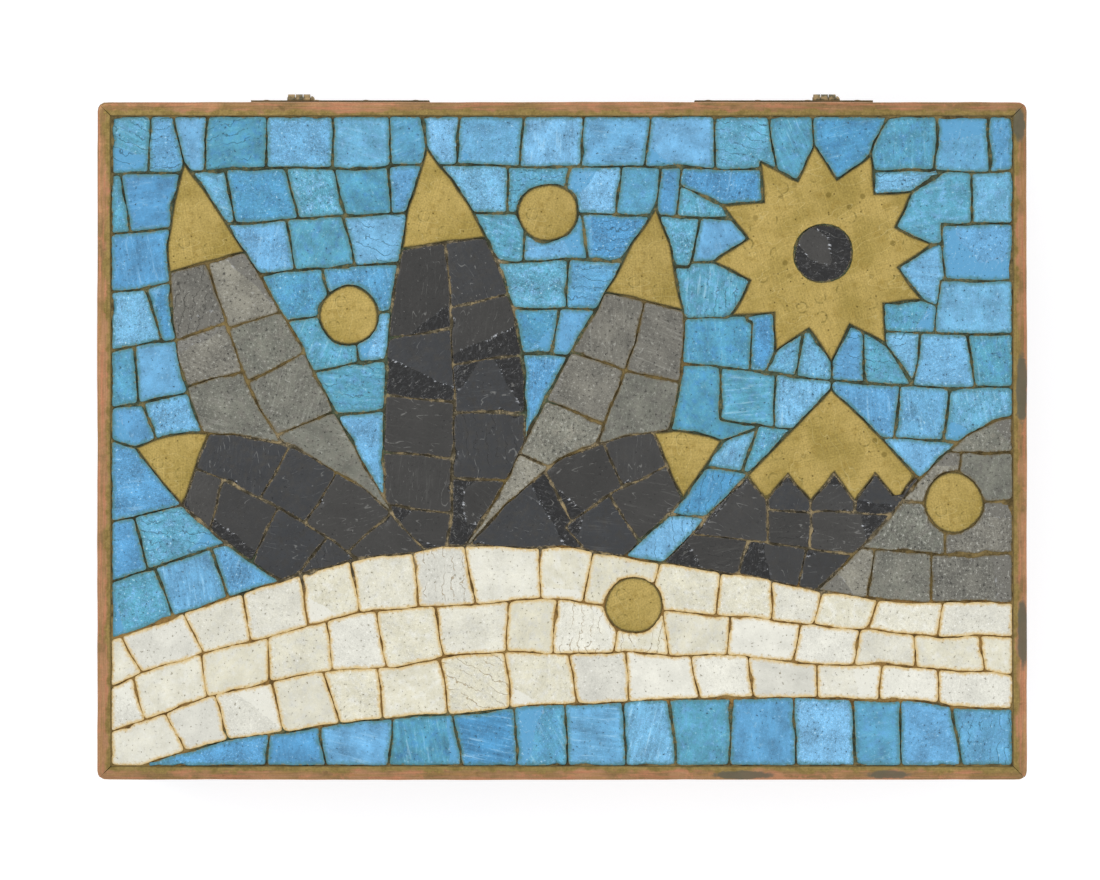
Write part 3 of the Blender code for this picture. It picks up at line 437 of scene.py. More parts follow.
def glass_finish(slot, look):
    """Old cut glass: clouds, streaks, specks, pits, cracks and scuffs, painted glints, and stains and mortar at
    its edge.
    """
    f = Finish(f"old_{slot}", {"IOR": 1.5})
    where = f.run()
    tone, hue, veined, cracked = f.attributes("tone", "hue", "veined", "cracked")
    edge, fresh = f.attributes("edge", "fresh")
    cloud = f.noise(4.6, where, 3, 0.55)
    drift = f.noise(1.7, where, 3, 0.6)
    crumb = f.noise(0.70, where, 3, 0.65)
    grain = f.noise(0.30, where, 3, 0.75)
    streak = f.noise(0.9, f.stretched(where, (0.10, 1, 1)), 5, 0.62, 0.2)
    shells = f.noise(1.7, where, 2, 0.50, 0.7)
    glint_noise = f.noise(0.6, f.stretched(where, (0.45, 1, 1), (0, 0, 0.5)), 3, 0.7)
    rough = (tone * 7.0).fraction() * 1.1 + 0.40

    level = varied(1.0, (cloud, look.mottle), (crumb, rough * (0.7 * look.mottle)),
                   (grain, rough * (1.1 * look.mottle)), (streak, veined * look.veins))
    other = hue.rising(0.25, 0.95) * drift.rising(0.25, 0.60)
    paint = f.coated(look.deep, (tone, look.pale), (other, look.other))
    break_line = varied(fresh, (crumb, 0.40), (grain, 0.15))
    fresh = break_line.rising(0.47, 0.56)
    # Where the painted glints go: highlights painted in clusters along the edges of broken facets, and a few
    # inside them
    clustered = abs(break_line - 0.5).falling(0.0, 0.22) * drift.rising(0.46, 0.60) + fresh * 0.03
    painted_glints = glint_noise.rising(0.52, 0.58) * clustered
    # Pale specks: flecks in the glass, and on turquoise glass also painted glints
    specks = crumb.rising(look.speck_limit, look.speck_limit + 0.035)
    fine_specks = grain.rising(look.speck_limit + 0.015, look.speck_limit + 0.05)
    pits = crumb.falling(look.pit_limit - 0.035, look.pit_limit)
    scuffs = f.lines(5.0, f.stretched(where, (0.22, 1, 1), (0, 0, 0.6)), 0.006) * drift.rising(0.48, 0.60)
    stained = varied(edge, (crumb, 1.3), (drift, 1.3)).falling(0.0, look.stain_reach)
    smeared = varied(edge, (crumb, 1.4)).falling(-0.05, look.smear_reach) * drift.rising(0.42, 0.56)
    across = varied(f.part(where, "Y") / (2.1 * MM), (cloud, 2.6), (drift, 0.7))
    cracks = abs(across.fraction() - 0.5).falling(0.012, 0.060) * cloud.rising(0.44, 0.54)
    cracks = cracks * cracked.rising(0.85, 0.86)
    paint = f.coated(
        f.brighter(paint, level),
        (streak.rising(0.56, 0.68) * veined * (0.35 * look.veins), look.speck),
        (fresh * (drift * 0.9 + 0.45), look.fresh),
        # Painted highlights of the glints
        (painted_glints * look.glint, srgb(214, 218, 224)),
        # Pale specks, partly painted glints
        (specks * rough * 0.60, look.speck),
        (fine_specks * rough * 0.55, look.speck),
        (pits * 0.80, look.pit),
        (scuffs * look.scuffs, look.speck),
        (stained * look.stain_strength, look.stain),
        (smeared * 0.75, look.smear),
        (cracks * 0.7, look.crack))

    gloss = varied(look.roughness, (grain, 0.25), (cloud, 0.25))
    gloss = gloss - fresh * (look.roughness - look.fresh_roughness) + smeared * 0.4 + stained * 0.08
    rubbed = (crumb + grain * 0.5) * (1.0 - fresh * 0.75)
    relief = f.relief(
        (cloud + drift * 0.45 + streak * veined * 0.35, 0.20 * look.relief),
        (rubbed - pits * 0.9 - cracks * 0.8 + smeared * 0.3, 0.075 * look.relief),
        ((shells + crumb * 0.08) * fresh, look.shell_depth))
    return f.output(base_color=paint, roughness=gloss.most(0.06), normal=relief)


def mortar_finish(mortar):
    """Lime mortar: olive by turquoise, brown by white, ochre by grey and at the rim, pale crumbs by black."""
    f = Finish("mortar_crumbs", {"Specular IOR Level": 0.2})
    where = f.place()
    by_white, by_grey, by_black = f.attributes("by_white", "by_grey", "by_black")
    coarse = f.noise(2.4, where, 3, 0.6)
    fine = f.noise(0.45, where, 4, 0.75)
    loose = (coarse * 0.6 + fine * 0.4).rising(0.49, 0.56) * by_black.rising(0.15, 0.45)
    paint = f.coated(
        mortar.dark,
        (by_white.rising(0.35, 0.65), mortar.brown),
        (by_grey.rising(0.20, 0.50) * 0.85, mortar.ochre),
        (by_black.rising(0.20, 0.50) * 0.85, tinted(mortar.crumbs, 0.34)),
        (f.from_outside(where).falling(3.2, 4.0) * 0.8, mortar.ochre))
    paint = f.coated(
        f.brighter(paint, varied(1.0, (coarse, 0.9), (fine, 0.8))),
        (coarse.falling(0.38, 0.50) * 0.55, srgb(52, 44, 28)),
        (loose * 0.85, mortar.crumbs),
        ((coarse * 0.7 + fine * 0.3).rising(0.50, 0.60) * 0.55, srgb(146, 126, 80)),
        (fine.rising(0.62, 0.68) * 0.4, srgb(186, 168, 128)))
    relief = f.relief((coarse + fine * 0.6, 0.30))
    return f.output(base_color=paint, roughness=varied(0.92, (fine, 0.1)), normal=relief)


def tarnish_mask(f, place, ragged):
    """1 on the dark patches: a soft spot round each place, with a ragged border."""
    x, y = f.part(place, "X") / MM, f.part(place, "Y") / MM
    made = 0.0
    for (middle_x, middle_y), (reach_x, reach_y) in TARNISH:
        across, along = (x - middle_x) / reach_x, (y - middle_y) / reach_y
        far = (across * across + along * along).root()
        made = varied(far, (ragged, 1.0)).falling(0.75, 1.1).most(made)
    return made


def skinned_copper(f, copper, place, brushed):
    """Paint of an old copper side, a brown skin over redder metal, and its noises of clouds and patches."""
    broad = f.noise(26, place, 4, 0.6)
    patchy = f.noise(6.0, place, 5, 0.65)
    paint = f.coated(
        tinted(copper, 0.52, 0.46, 0.42),
        (broad.rising(0.35, 0.62), tinted(copper, 0.90, 0.81, 0.74)),
        (patchy.rising(0.50, 0.70) * 0.6, tinted(copper, 1.08, 0.84, 0.74)))
    return f.brighter(paint, varied(1.0, (brushed, 0.4))), broad, patchy


def rim_finish(metal):
    """Filed copper: reddish outside, brassy olive inside, a painted edge highlight, tarnish, and a dark line of
    dirt and painted shade at the mosaic.

    The outer sides have the case's brown skin.
    """
    f = Finish("rim_copper", {"Specular IOR Level": 0.5})
    place, run, copper, brassy = f.place(), f.run(), metal.copper, metal.brassy
    far_in = f.from_outside(place)
    below = (LID_TOP - f.part(place, "Z")) / MM
    broad = f.noise(9.0, place, 3, 0.6)
    patchy = f.noise(2.4, place, 4, 0.65)
    fine = f.noise(0.45, place, 3, 0.7)
    brushed = f.noise(0.22, f.stretched(run, (0.03, 1, 1)), 3, 0.6)
    streaked = f.noise(0.8, f.stretched(run, (0.06, 1, 1)), 4, 0.6)

    outer = f.coated(
        copper,
        (broad.rising(0.35, 0.65), tinted(copper, 0.58, 0.68, 0.58)),
        (patchy.rising(0.54, 0.66) * 0.50, tinted(copper, 1.30, 1.04, 1.10)),
        (streaked.rising(0.50, 0.60) * 0.60, tinted(copper, 1.16, 0.90, 0.94)),
        (streaked.falling(0.38, 0.48) * 0.55, tinted(copper, 0.78, 0.84, 0.58)))
    inner = f.coated(
        brassy,
        (patchy.rising(0.35, 0.65), tinted(brassy, 0.66, 0.66, 0.62)),
        (fine.rising(0.55, 0.70) * 0.4, tinted(brassy, 1.25, 1.20, 0.95)))
    border = varied(far_in, (patchy, 2.8), (broad, 3.6), (fine, 1.0))
    paint = f.coated(outer, (border.rising(1.50, 2.40), inner))
    # A dark line along the inner edge by the mosaic: painted shade of the joint, with dirt that dulls the
    # copper
    dirt_and_shade = varied(far_in, (fine, 0.4)).rising(2.78, 2.98)
    stray = patchy.falling(0.32, 0.42) * broad.rising(0.42, 0.58)
    # A painted highlight along the outer edge of the rim's top, partly copper rubbed bright
    rubbed_edge_and_highlight = varied(far_in, (patchy, 0.5)).falling(0.05, 0.40)
    tarnish = tarnish_mask(f, place, patchy) * below.falling(0.4, 2.0)
    down = varied(below, (patchy, 1.5))
    skin, _, _ = skinned_copper(f, copper, place, brushed)
    paint = f.coated(
        f.brighter(paint, varied(1.0, (fine, 0.55), (brushed, 0.7))),
        # Painted shade and dirt along the inner edge
        (dirt_and_shade * 0.45, srgb(96, 80, 48)),
        (stray * 0.55, srgb(116, 98, 62)),
        # Painted edge highlight, partly rubbed copper
        (rubbed_edge_and_highlight * 0.35, tinted(copper, 1.40, 1.36, 1.34)),
        (tarnish * 0.85, srgb(92, 90, 74)),
        (down.rising(0.5, 1.8), skin),
        (down.rising(10.3, 12.0) * 0.6, srgb(70, 52, 38)))

    rough = varied(0.40, (patchy, 0.4), (brushed, 0.2)) + tarnish * 0.25 + dirt_and_shade * 0.3
    relief = f.relief((patchy * 0.7 + broad, 0.16), (fine * 0.5 + brushed * 0.6, 0.03))
    return f.output(base_color=paint, roughness=rough.most(0.15), metallic=1.0 - tarnish * 0.5 - dirt_and_shade * 0.6,
                    normal=relief)


def sheet_finish(metal):
    """Old copper sheet: brown skin over red metal, dark towards its edges, with scratches and dull spots."""
    f = Finish("case_copper", {"Specular IOR Level": 0.5})
    place, run, copper = f.place(), f.run(), metal.copper
    height = f.part(place, "Z") / CASE_TOP
    fine = f.noise(0.7, place, 3, 0.7)
    brushed = f.noise(0.3, f.stretched(run, (0.03, 1, 1)), 3, 0.6)
    streaked = f.noise(1.2, f.stretched(run, (0.05, 1, 1)), 4, 0.6)
    scratched = f.lines(5.0, f.stretched(run, (0.25, 1, 1), (0, 0, 0.25)), 0.006)
    spots = f.specks(6.0, run, 0.9, 0.40) * fine.rising(0.40, 0.52)
    skin, broad, patchy = skinned_copper(f, copper, place, brushed)
    paint = f.coated(
        skin,
        (streaked.rising(0.50, 0.62) * 0.35, tinted(copper, 0.56, 0.47, 0.42)),
        (streaked.falling(0.38, 0.47) * 0.30, tinted(copper, 1.12, 0.96, 0.84)),
        (spots * 0.55, srgb(66, 52, 40)))
    near_edge = height.falling(0.02, 0.14).most(height.rising(0.90, 0.99))
    verdigris = patchy.falling(0.30, 0.38) * broad.falling(0.40, 0.52)
    paint = f.coated(
        f.brighter(paint, varied(1.0, (fine, 0.5))),
        (near_edge * 0.6, srgb(70, 52, 38)),
        (verdigris * 0.5, srgb(98, 112, 92)),
        (scratched * 0.5, tinted(copper, 1.35, 1.20, 1.15)))
    rough = varied(0.42, (patchy, 0.5)) + verdigris * 0.3 + near_edge * 0.15 - scratched * 0.1
    relief = f.relief(
        (broad * 1.5 + patchy * 0.4, 0.35),
        (fine * 0.5 + brushed * 0.5 - scratched * 0.6, 0.03))
    return f.output(base_color=paint, roughness=rough.most(0.18), metallic=1.0 - verdigris * 0.7,
                    normal=relief)


def brass_finish(metal):
    """Satin brass: fine rubbing, scratches, brown rings and spots, and a dark line along the mortar."""
    f = Finish("plate_brass", {"Specular IOR Level": 0.5})
    run, brass = f.run(), metal.brass
    edge, tone = f.attributes("edge", "tone")
    broad = f.noise(11, run, 4, 0.6, 0.6)
    patchy = f.noise(2.8, run, 5, 0.68)
    fine = f.noise(0.4, run, 3, 0.75)
    rubbed = f.noise(0.25, f.stretched(run, (1, 0.035, 1)), 3, 0.6)
    scratched = f.lines(6.0, f.stretched(run, (0.3, 1, 1), (0, 0, 1.1)), 0.005)
    spots = f.specks(3.4, run, 0.75, 0.13) * fine.rising(0.30, 0.50)
    rings = f.rings(5.5, run, 1.15, 0.30, 0.45) * patchy.rising(0.44, 0.54) * broad.rising(0.46, 0.52)
    dots = f.specks(2.4, run, 0.24, 0.35)
    dull = varied(edge, (patchy, 1.6)).falling(0.0, 0.9)
    dark = varied(edge, (fine, 0.5), (patchy, 0.5)).falling(0.10, 0.42)
    paint = f.coated(
        tinted(brass, 0.84, 0.84, 0.76),
        (broad.rising(0.34, 0.64), tinted(brass, 1.12, 1.12, 1.18)),
        (patchy.rising(0.52, 0.66) * 0.6, tinted(brass, 0.80, 0.76, 0.62)),
        (patchy.falling(0.34, 0.46) * 0.4, tinted(brass, 1.16, 1.16, 1.20)))
    paint = f.coated(
        f.brighter(paint, varied(tone * 0.12 + 0.94, (fine, 1.3), (rubbed, 0.6))),
        (spots * 0.55, srgb(112, 98, 44)),
        (rings * 0.60, srgb(104, 96, 48)),
        (dots * 0.70, srgb(84, 72, 34)),
        (fine.falling(0.30, 0.36) * 0.6, srgb(96, 80, 40)),
        (scratched * 0.40, srgb(206, 190, 134)),
        (dull * 0.50, srgb(132, 114, 58)),
        (dark * 0.80, srgb(78, 70, 34)))
    rough = varied(0.50, (patchy, 0.3), (fine, 0.3)) + dark * 0.25 + spots * 0.15
    relief = f.relief(
        (broad * 0.6 + patchy * 0.5, 0.08),
        (fine * 0.8 + rubbed * 0.6 - scratched * 0.4 - spots * 0.4, 0.035))
    return f.output(base_color=paint, roughness=rough.most(0.2), metallic=1.0 - dark * 0.6, normal=relief)


def wood_finish(name, paint, along_x, roughness):
    """Planed wood: long dark and pale streaks along the grain, growth bands and fine pores."""
    f = Finish(name, {"Specular IOR Level": 0.35})
    place = f.place()
    grain_way = f.stretched(place, (0.06, 1, 1) if along_x else (1, 0.06, 1))
    bands = f.noise(7.0, grain_way, 4, 0.6, 0.9)
    fibres = f.noise(0.7, grain_way, 5, 0.7)
    pores = f.noise(0.28, grain_way, 2, 0.6)
    cloud = f.noise(30, place, 3, 0.5)
    rings = (bands * 7.0).fraction()
    ring_edge = rings.rising(0.55, 0.95) * rings.falling(0.95, 1.0)
    wood = f.coated(
        tinted(paint, 0.78, 0.70, 0.62),
        (bands.rising(0.34, 0.66), tinted(paint, 1.18, 1.14, 1.06)),
        (ring_edge * 0.45, tinted(paint, 0.58, 0.46, 0.38)))
    wood = f.coated(
        f.brighter(wood, varied(1.0, (fibres, 0.6), (cloud, 0.35))),
        (pores.falling(0.30, 0.42) * 0.5, tinted(paint, 0.42, 0.34, 0.28)))
    return f.output(base_color=wood, roughness=varied(roughness, (fibres, 0.25)),
                    normal=f.relief((fibres + pores * 0.7 + ring_edge * 0.4, 0.07)))


def hinge_finish(metal):
    """Dark bronze skin, rubbed to brass on the knuckles and spotted with dull tarnish."""
    f = Finish("hinge_bronze", {"Specular IOR Level": 0.5})
    place = f.place()
    patchy = f.noise(4.5, place, 5, 0.65)
    fine = f.noise(0.4, place, 3, 0.7)
    behind = (f.part(place, "Y") - HALF_DEPTH) / MM
    proud = varied(behind, (patchy, 0.5)).rising(0.60, 0.95)
    rubbed = f.coated(srgb(176, 150, 110), (f.noise(1.6, place, 3, 0.6).rising(0.42, 0.58), srgb(98, 94, 76)))
    paint = f.coated(
        tinted(metal.hinge, 0.66),
        (patchy.rising(0.35, 0.65), tinted(metal.hinge, 1.10)),
        (proud * 0.85, rubbed))
    return f.output(base_color=f.brighter(paint, varied(1.0, (fine, 0.5))),
                    roughness=varied(0.50, (patchy, 0.4)) - proud * 0.12,
                    metallic=varied(0.85, (patchy, 0.3)), normal=f.relief((patchy + fine * 0.5, 0.08)))


# Surfaces

def lattice_noise(plan, size, seed):
    """Smooth noise between -1 and 1: random values at a square lattice's places, joined by 3t2 - 2t3."""
    x, y = np.real(plan) / size, np.imag(plan) / size
    column, row = np.floor(x).astype(np.int64), np.floor(y).astype(np.int64)
    across, up = x - column, y - row
    across, up = across**2 * (3 - 2 * across), up**2 * (3 - 2 * up)

    def value(i, j):
        mixed = (i * 374761393 + j * 668265263 + seed * 974634777) & 0xFFFFFFFF
        mixed = ((mixed ^ (mixed >> 13)) * 1274126177) & 0xFFFFFFFF
        return (mixed ^ (mixed >> 16)) / 0x7FFFFFFF - 1

    low = value(column, row) * (1 - across) + value(column + 1, row) * across
    high = value(column, row + 1) * (1 - across) + value(column + 1, row + 1) * across
    return low * (1 - up) + high * up


def layered_noise(plan, seed, *layers):
    """Lattice noises added up, each with its size in millimetres, its share and a seed of its own."""
    return sum(share * lattice_noise(plan, size * MM, seed + number)
               for number, (size, share) in enumerate(layers))


def relaxed(outlines, amount):
    """Closed outlines (complex plan, one a row) after a flow of heat.

    Each wave of k turns fades by exp(-amount k2). Any amount keeps the mean point, a small one rounds the
    corners, and a large one leaves a small round ring.
    """
    waves = np.fft.fftfreq(outlines.shape[-1], 1 / outlines.shape[-1])
    fade = np.exp(-np.asarray(amount)[..., None] * waves**2)
    return np.fft.ifft(np.fft.fft(outlines, axis=-1) * fade, axis=-1)


def inward(outlines):
    """Unit steps to the left of each outline, which runs anticlockwise. Its ways are relaxed a little."""
    along = np.roll(outlines, -1, axis=-1) - np.roll(outlines, 1, axis=-1)
    along = relaxed(along, np.full(outlines.shape[0], 0.002))
    return 1j * along / np.maximum(np.abs(along), 1e-9)


def turned_area(loop):
    """Twice the area of an outline, above zero where it runs anticlockwise."""
    after = np.roll(loop, -1)
    return np.sum(np.real(loop) * np.imag(after) - np.imag(loop) * np.real(after))


def chained(starts, ends):
    """The closed loops that directed edges make."""
    onward = dict(zip(starts.tolist(), ends.tolist()))
    loops = []
    while onward:
        at = next(iter(onward))
        loop = []
        while at in onward:
            loop.append(at)
            at = onward.pop(at)
        loops.append(loop)
    return loops


def points_of(mesh):
    """The places of a mesh's points, one a row."""
    places = np.empty(len(mesh.vertices) * 3, np.float32)
    mesh.vertices.foreach_get("co", places)
    return places.reshape(-1, 3).astype(float)


def top_outlines(name):
    """Outlines (complex plan) and heights of a CAD node's flat tops: for each top, its largest loop first."""
    mesh = NODES[name].data
    mesh.calc_loop_triangles()
    corners = np.empty(len(mesh.loop_triangles) * 3, np.int32)
    mesh.loop_triangles.foreach_get("vertices", corners)
    places = points_of(mesh)
    weld = 1e-6
    _, kept, same = np.unique(np.round(places / weld), axis=0, return_index=True, return_inverse=True)
    places, triangles = places[kept], same.reshape(-1)[corners].reshape(-1, 3)
    triangles = triangles[(places[triangles, 2] > TOPS_ABOVE).all(axis=1)]
    label = np.arange(len(places))
    while True:
        lower = label.copy()
        np.minimum.at(lower, triangles.ravel(), np.repeat(label[triangles].min(axis=1), 3))
        if (lower == label).all():
            break
        label = lower
    plan = places[:, 0] + 1j * places[:, 1]
    tops = []
    for group in np.unique(label[triangles[:, 0]]):
        own = triangles[label[triangles[:, 0]] == group]
        edges = np.concatenate([own[:, [0, 1]], own[:, [1, 2]], own[:, [2, 0]]])
        code, back = edges[:, 0] * len(places) + edges[:, 1], edges[:, 1] * len(places) + edges[:, 0]
        border = edges[~np.isin(code, back)]
        loops = [plan[loop] for loop in chained(border[:, 0], border[:, 1])]
        loops.sort(key=turned_area, reverse=True)
        tops.append((loops, places[own[0, 0], 2]))
    return tops


def evenly(loop, count, keep_corners):
    """The outline as points at even steps of its length. A kept corner takes the nearest point's place."""
    closed = np.append(loop, loop[0])
    along = np.append(0, np.cumsum(np.abs(np.diff(closed))))
    places = np.arange(count) * along[-1] / count
    if keep_corners:
        nearest = np.round(along[:-1] / along[-1] * count).astype(int) % count
        places[nearest] = along[:-1]
    return np.interp(places, along, closed.real) + 1j * np.interp(places, along, closed.imag)


def tube_faces(rows, columns, closed_rows=False):
    """Quads between rings of points: row after row, and round each ring."""
    row = np.arange(rows if closed_rows else rows - 1)[:, None]
    column = np.arange(columns)[None, :]
    after, up = (column + 1) % columns, (row + 1) % rows
    low, high = row * columns, up * columns
    return np.stack([low + column, low + after, high + after, high + column]).reshape(4, -1).T


def fan_faces(ring, pole, outward):
    """Triangles from a ring of point numbers to a pole."""
    after = np.roll(ring, -1)
    first, second = (ring, after) if outward else (after, ring)
    return np.stack([first, second, np.full(len(ring), pole)], axis=1)


def end_fans(rows, columns):
    """The fans that close a tube's ends, to two poles that follow its own points."""
    ring, total = np.arange(columns), rows * columns
    return np.concatenate([fan_faces(ring, total, False), fan_faces(ring + total - columns, total + 1, True)])


def add_surface(name, body, places, quads, triangles, finish, values=None, run=None, sharp=40):
    """Makes a piece from arrays: points, faces, a number at each point for each named value, and a UV map."""
    mesh = bpy.data.meshes.new(name)
    corners = np.concatenate([quads.ravel(), triangles.ravel()]).astype(np.int32)
    starts = np.concatenate([np.arange(len(quads)) * 4, len(quads) * 4 + np.arange(len(triangles)) * 3])
    mesh.vertices.add(len(places))
    mesh.vertices.foreach_set("co", places.astype(np.float32).ravel())
    mesh.loops.add(len(corners))
    mesh.loops.foreach_set("vertex_index", corners)
    mesh.polygons.add(len(starts))
    mesh.polygons.foreach_set("loop_start", starts.astype(np.int32))
    mesh.update(calc_edges=True)
    for word, numbers in (values or {}).items():
        layer = mesh.attributes.new(word, "FLOAT", "POINT")
        layer.data.foreach_set("value", numbers.astype(np.float32).ravel())
    if run is not None:
        layer = mesh.uv_layers.new(name="run")
        flat = run.ravel()[corners]
        layer.uv.foreach_set("vector", np.stack([flat.real, flat.imag], axis=1).astype(np.float32).ravel())
    mesh.validate()
    mesh.shade_smooth()
    mesh.set_sharp_from_angle(angle=math.radians(sharp))
    mesh.materials.append(finish)
    piece = bpy.data.objects.new(name, mesh)
    bpy.context.scene.collection.objects.link(piece)
    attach(piece, body)
    return piece


@dataclass
class Cut:
    """How a flat piece is cut and dressed, in metres and shares.

    Its outline has so many points around, with rounded corners, and is grown all round. Its edge is eased and
    strays by the wander, and each of its chips is there by the chance of being chipped. Its top has a crown,
    ripples, a tilt and facets, each of these by the chance of being faceted.
    """
    around: int
    corner: float
    edge: float
    wander: float
    crown: float
    ripple: float
    tilt: float
    chip: float
    chips: int
    chipped: float
    grown: float = 0.0
    facets: int = 0
    faceted: float = 0.0
    keep_corners: bool = False


def best_poles(outlines):
    """A point well inside each outline, and whether it sees the whole outline.

    Of a lattice of points, it is the one deepest inside all the sides' lines. Where no point is inside all of
    them, it is the one farthest in from the nearest point of the outline.
    """
    soft = relaxed(outlines, np.full(len(outlines), 0.004))
    low = soft.real.min(axis=1) + 1j * soft.imag.min(axis=1)
    size = soft.real.max(axis=1) + 1j * soft.imag.max(axis=1) - low
    steps = np.linspace(0.1, 0.9, POLE_STEPS)
    x, y = (part.ravel() for part in np.meshgrid(steps, steps))
    places = low[:, None] + size.real[:, None] * x + 1j * size.imag[:, None] * y
    away = places[:, :, None] - soft[:, None, :]
    depth = (away * np.conj(inward(soft)[:, None, :])).real
    nearest = np.abs(away).argmin(axis=2)[..., None]
    from_side = np.take_along_axis(depth, nearest, axis=2)[..., 0]
    seen = depth.min(axis=2)
    is_seen = seen.max(axis=1) > POLE_DEPTH
    best = np.where(is_seen, seen.argmax(axis=1), from_side.argmax(axis=1))
    return places[np.arange(len(outlines)), best], is_seen


def held_inside(rings, outline, least):
    """The rings with each point pushed in, from the outline's nearest point, until it is far enough in."""
    away = rings[..., None] - outline
    nearest = np.abs(away).argmin(axis=-1)
    step_in = inward(outline[None])[0][nearest]
    depth = (np.take_along_axis(away, nearest[..., None], axis=-1)[..., 0] * np.conj(step_in)).real
    return rings + step_in * np.maximum(least[:, None] - depth, 0)


def bent(plan):
    """A plan moved by the slow waves of hand-laid courses, which are the same for every piece.

    The waves fade out at the rim, and what lies along the rim moves out towards it.
    """
    waves = [layered_noise(plan, SEED + seed, *COURSE_LAYERS) for seed in (30, 32)]
    from_rim = np.minimum(PANEL_HALF_WIDTH - np.abs(plan.real), PANEL_HALF_DEPTH - np.abs(plan.imag))
    plan = plan + (waves[0] + 1j * waves[1]) * MM * np.clip(from_rim / COURSE_FADE, 0, 1)
    out_x, out_y = (np.sign(part) * np.clip(PUSH_BEGINS - (half - np.abs(part)) / MM, 0, 1)
                    for part, half in ((plan.real, PANEL_HALF_WIDTH), (plan.imag, PANEL_HALF_DEPTH)))
    return plan + (out_x + 1j * out_y) * RIM_PUSH


def held_in_rim(plan):
    """The plan without what would touch the rim."""
    x, y = (half - RIM_WIDTH - LEAST_AT_RIM for half in (HALF_WIDTH, HALF_DEPTH))
    return np.clip(plan.real, -x, x) + 1j * np.clip(plan.imag, -y, y)


def chip_pattern(outline, cut, rng):
    """How deeply each point of an outline is chipped, 0 to 1: a few bell-shaped notches at random places."""
    count, around = outline.shape
    along = np.cumsum(np.abs(np.roll(outline, -1, axis=1) - outline), axis=1)
    girth = along[:, -1:]
    depth = np.zeros((count, around))
    for _ in range(cut.chips):
        middle = rng.random((count, 1)) * girth
        width = rng.uniform(*CHIP_WIDTHS, (count, 1)) * MM
        strength = rng.random((count, 1)) ** 2 * (rng.random((count, 1)) < cut.chipped)
        away = np.abs((along - middle + girth / 2) % girth - girth / 2)
        depth = np.maximum(depth, strength * np.exp(-((away / width) ** 2)))
    return depth


def facet_drop(plan, centre, reach, cut, rng):
    """How far broken facets lie under the top, and where they are: planes that cut a corner or a side away.

    Each falls from a straight line across the piece, steeply or hardly at all, and has a shell-like waviness.
    The second number is 0.5 on that line, and rises by 1 in 2 mm to the broken side.
    """
    each = (len(centre), 1, 1)
    drop, broken = np.zeros(plan.shape), np.zeros(plan.shape)
    for number in range(cut.facets):
        way = np.exp(1j * rng.uniform(0, 2 * math.pi, each))
        start = rng.uniform(*FACET_STARTS, each) * reach
        slope = rng.uniform(*FACET_SLOPES, each)
        there = rng.random(each) < cut.faceted
        shell = lattice_noise(plan, SHELL_SIZE, SEED + 40 + number) * SHELL_WAVE
        past = ((plan - centre) * np.conj(way)).real - start + shell
        drop = np.maximum(drop, np.where(there, slope * np.maximum(past, 0), 0))
        broken = np.maximum(broken, np.where(there, np.clip(0.5 + past / FACET_BLEND, 0, 1), 0))
    return drop, broken


def rings_inside(outlines, brink, edge, pole, is_seen):
    """Rings from each piece's brink to its pole, on straight lines or, where these would leave it, relaxed.

    A relaxed ring is the brink after a flow of heat, moved towards the pole and held inside the outline.
    """
    share_in = INNER_STEPS[:, None, None]
    inner = brink + (pole[:, None] - brink) * share_in
    flow = np.repeat(-np.log(1 - INNER_STEPS)[:, None], len(outlines), axis=1)
    soft = relaxed(np.repeat(brink[None], len(flow), axis=0), flow)
    soft = soft + (pole - outlines.mean(axis=1))[:, None] * share_in
    for number in np.flatnonzero(~is_seen):
        least = edge[number].mean() + INNER_STEPS * 0.5 * MM
        inner[:, number] = held_inside(soft[:, number], outlines[number], least)
    return list(inner)


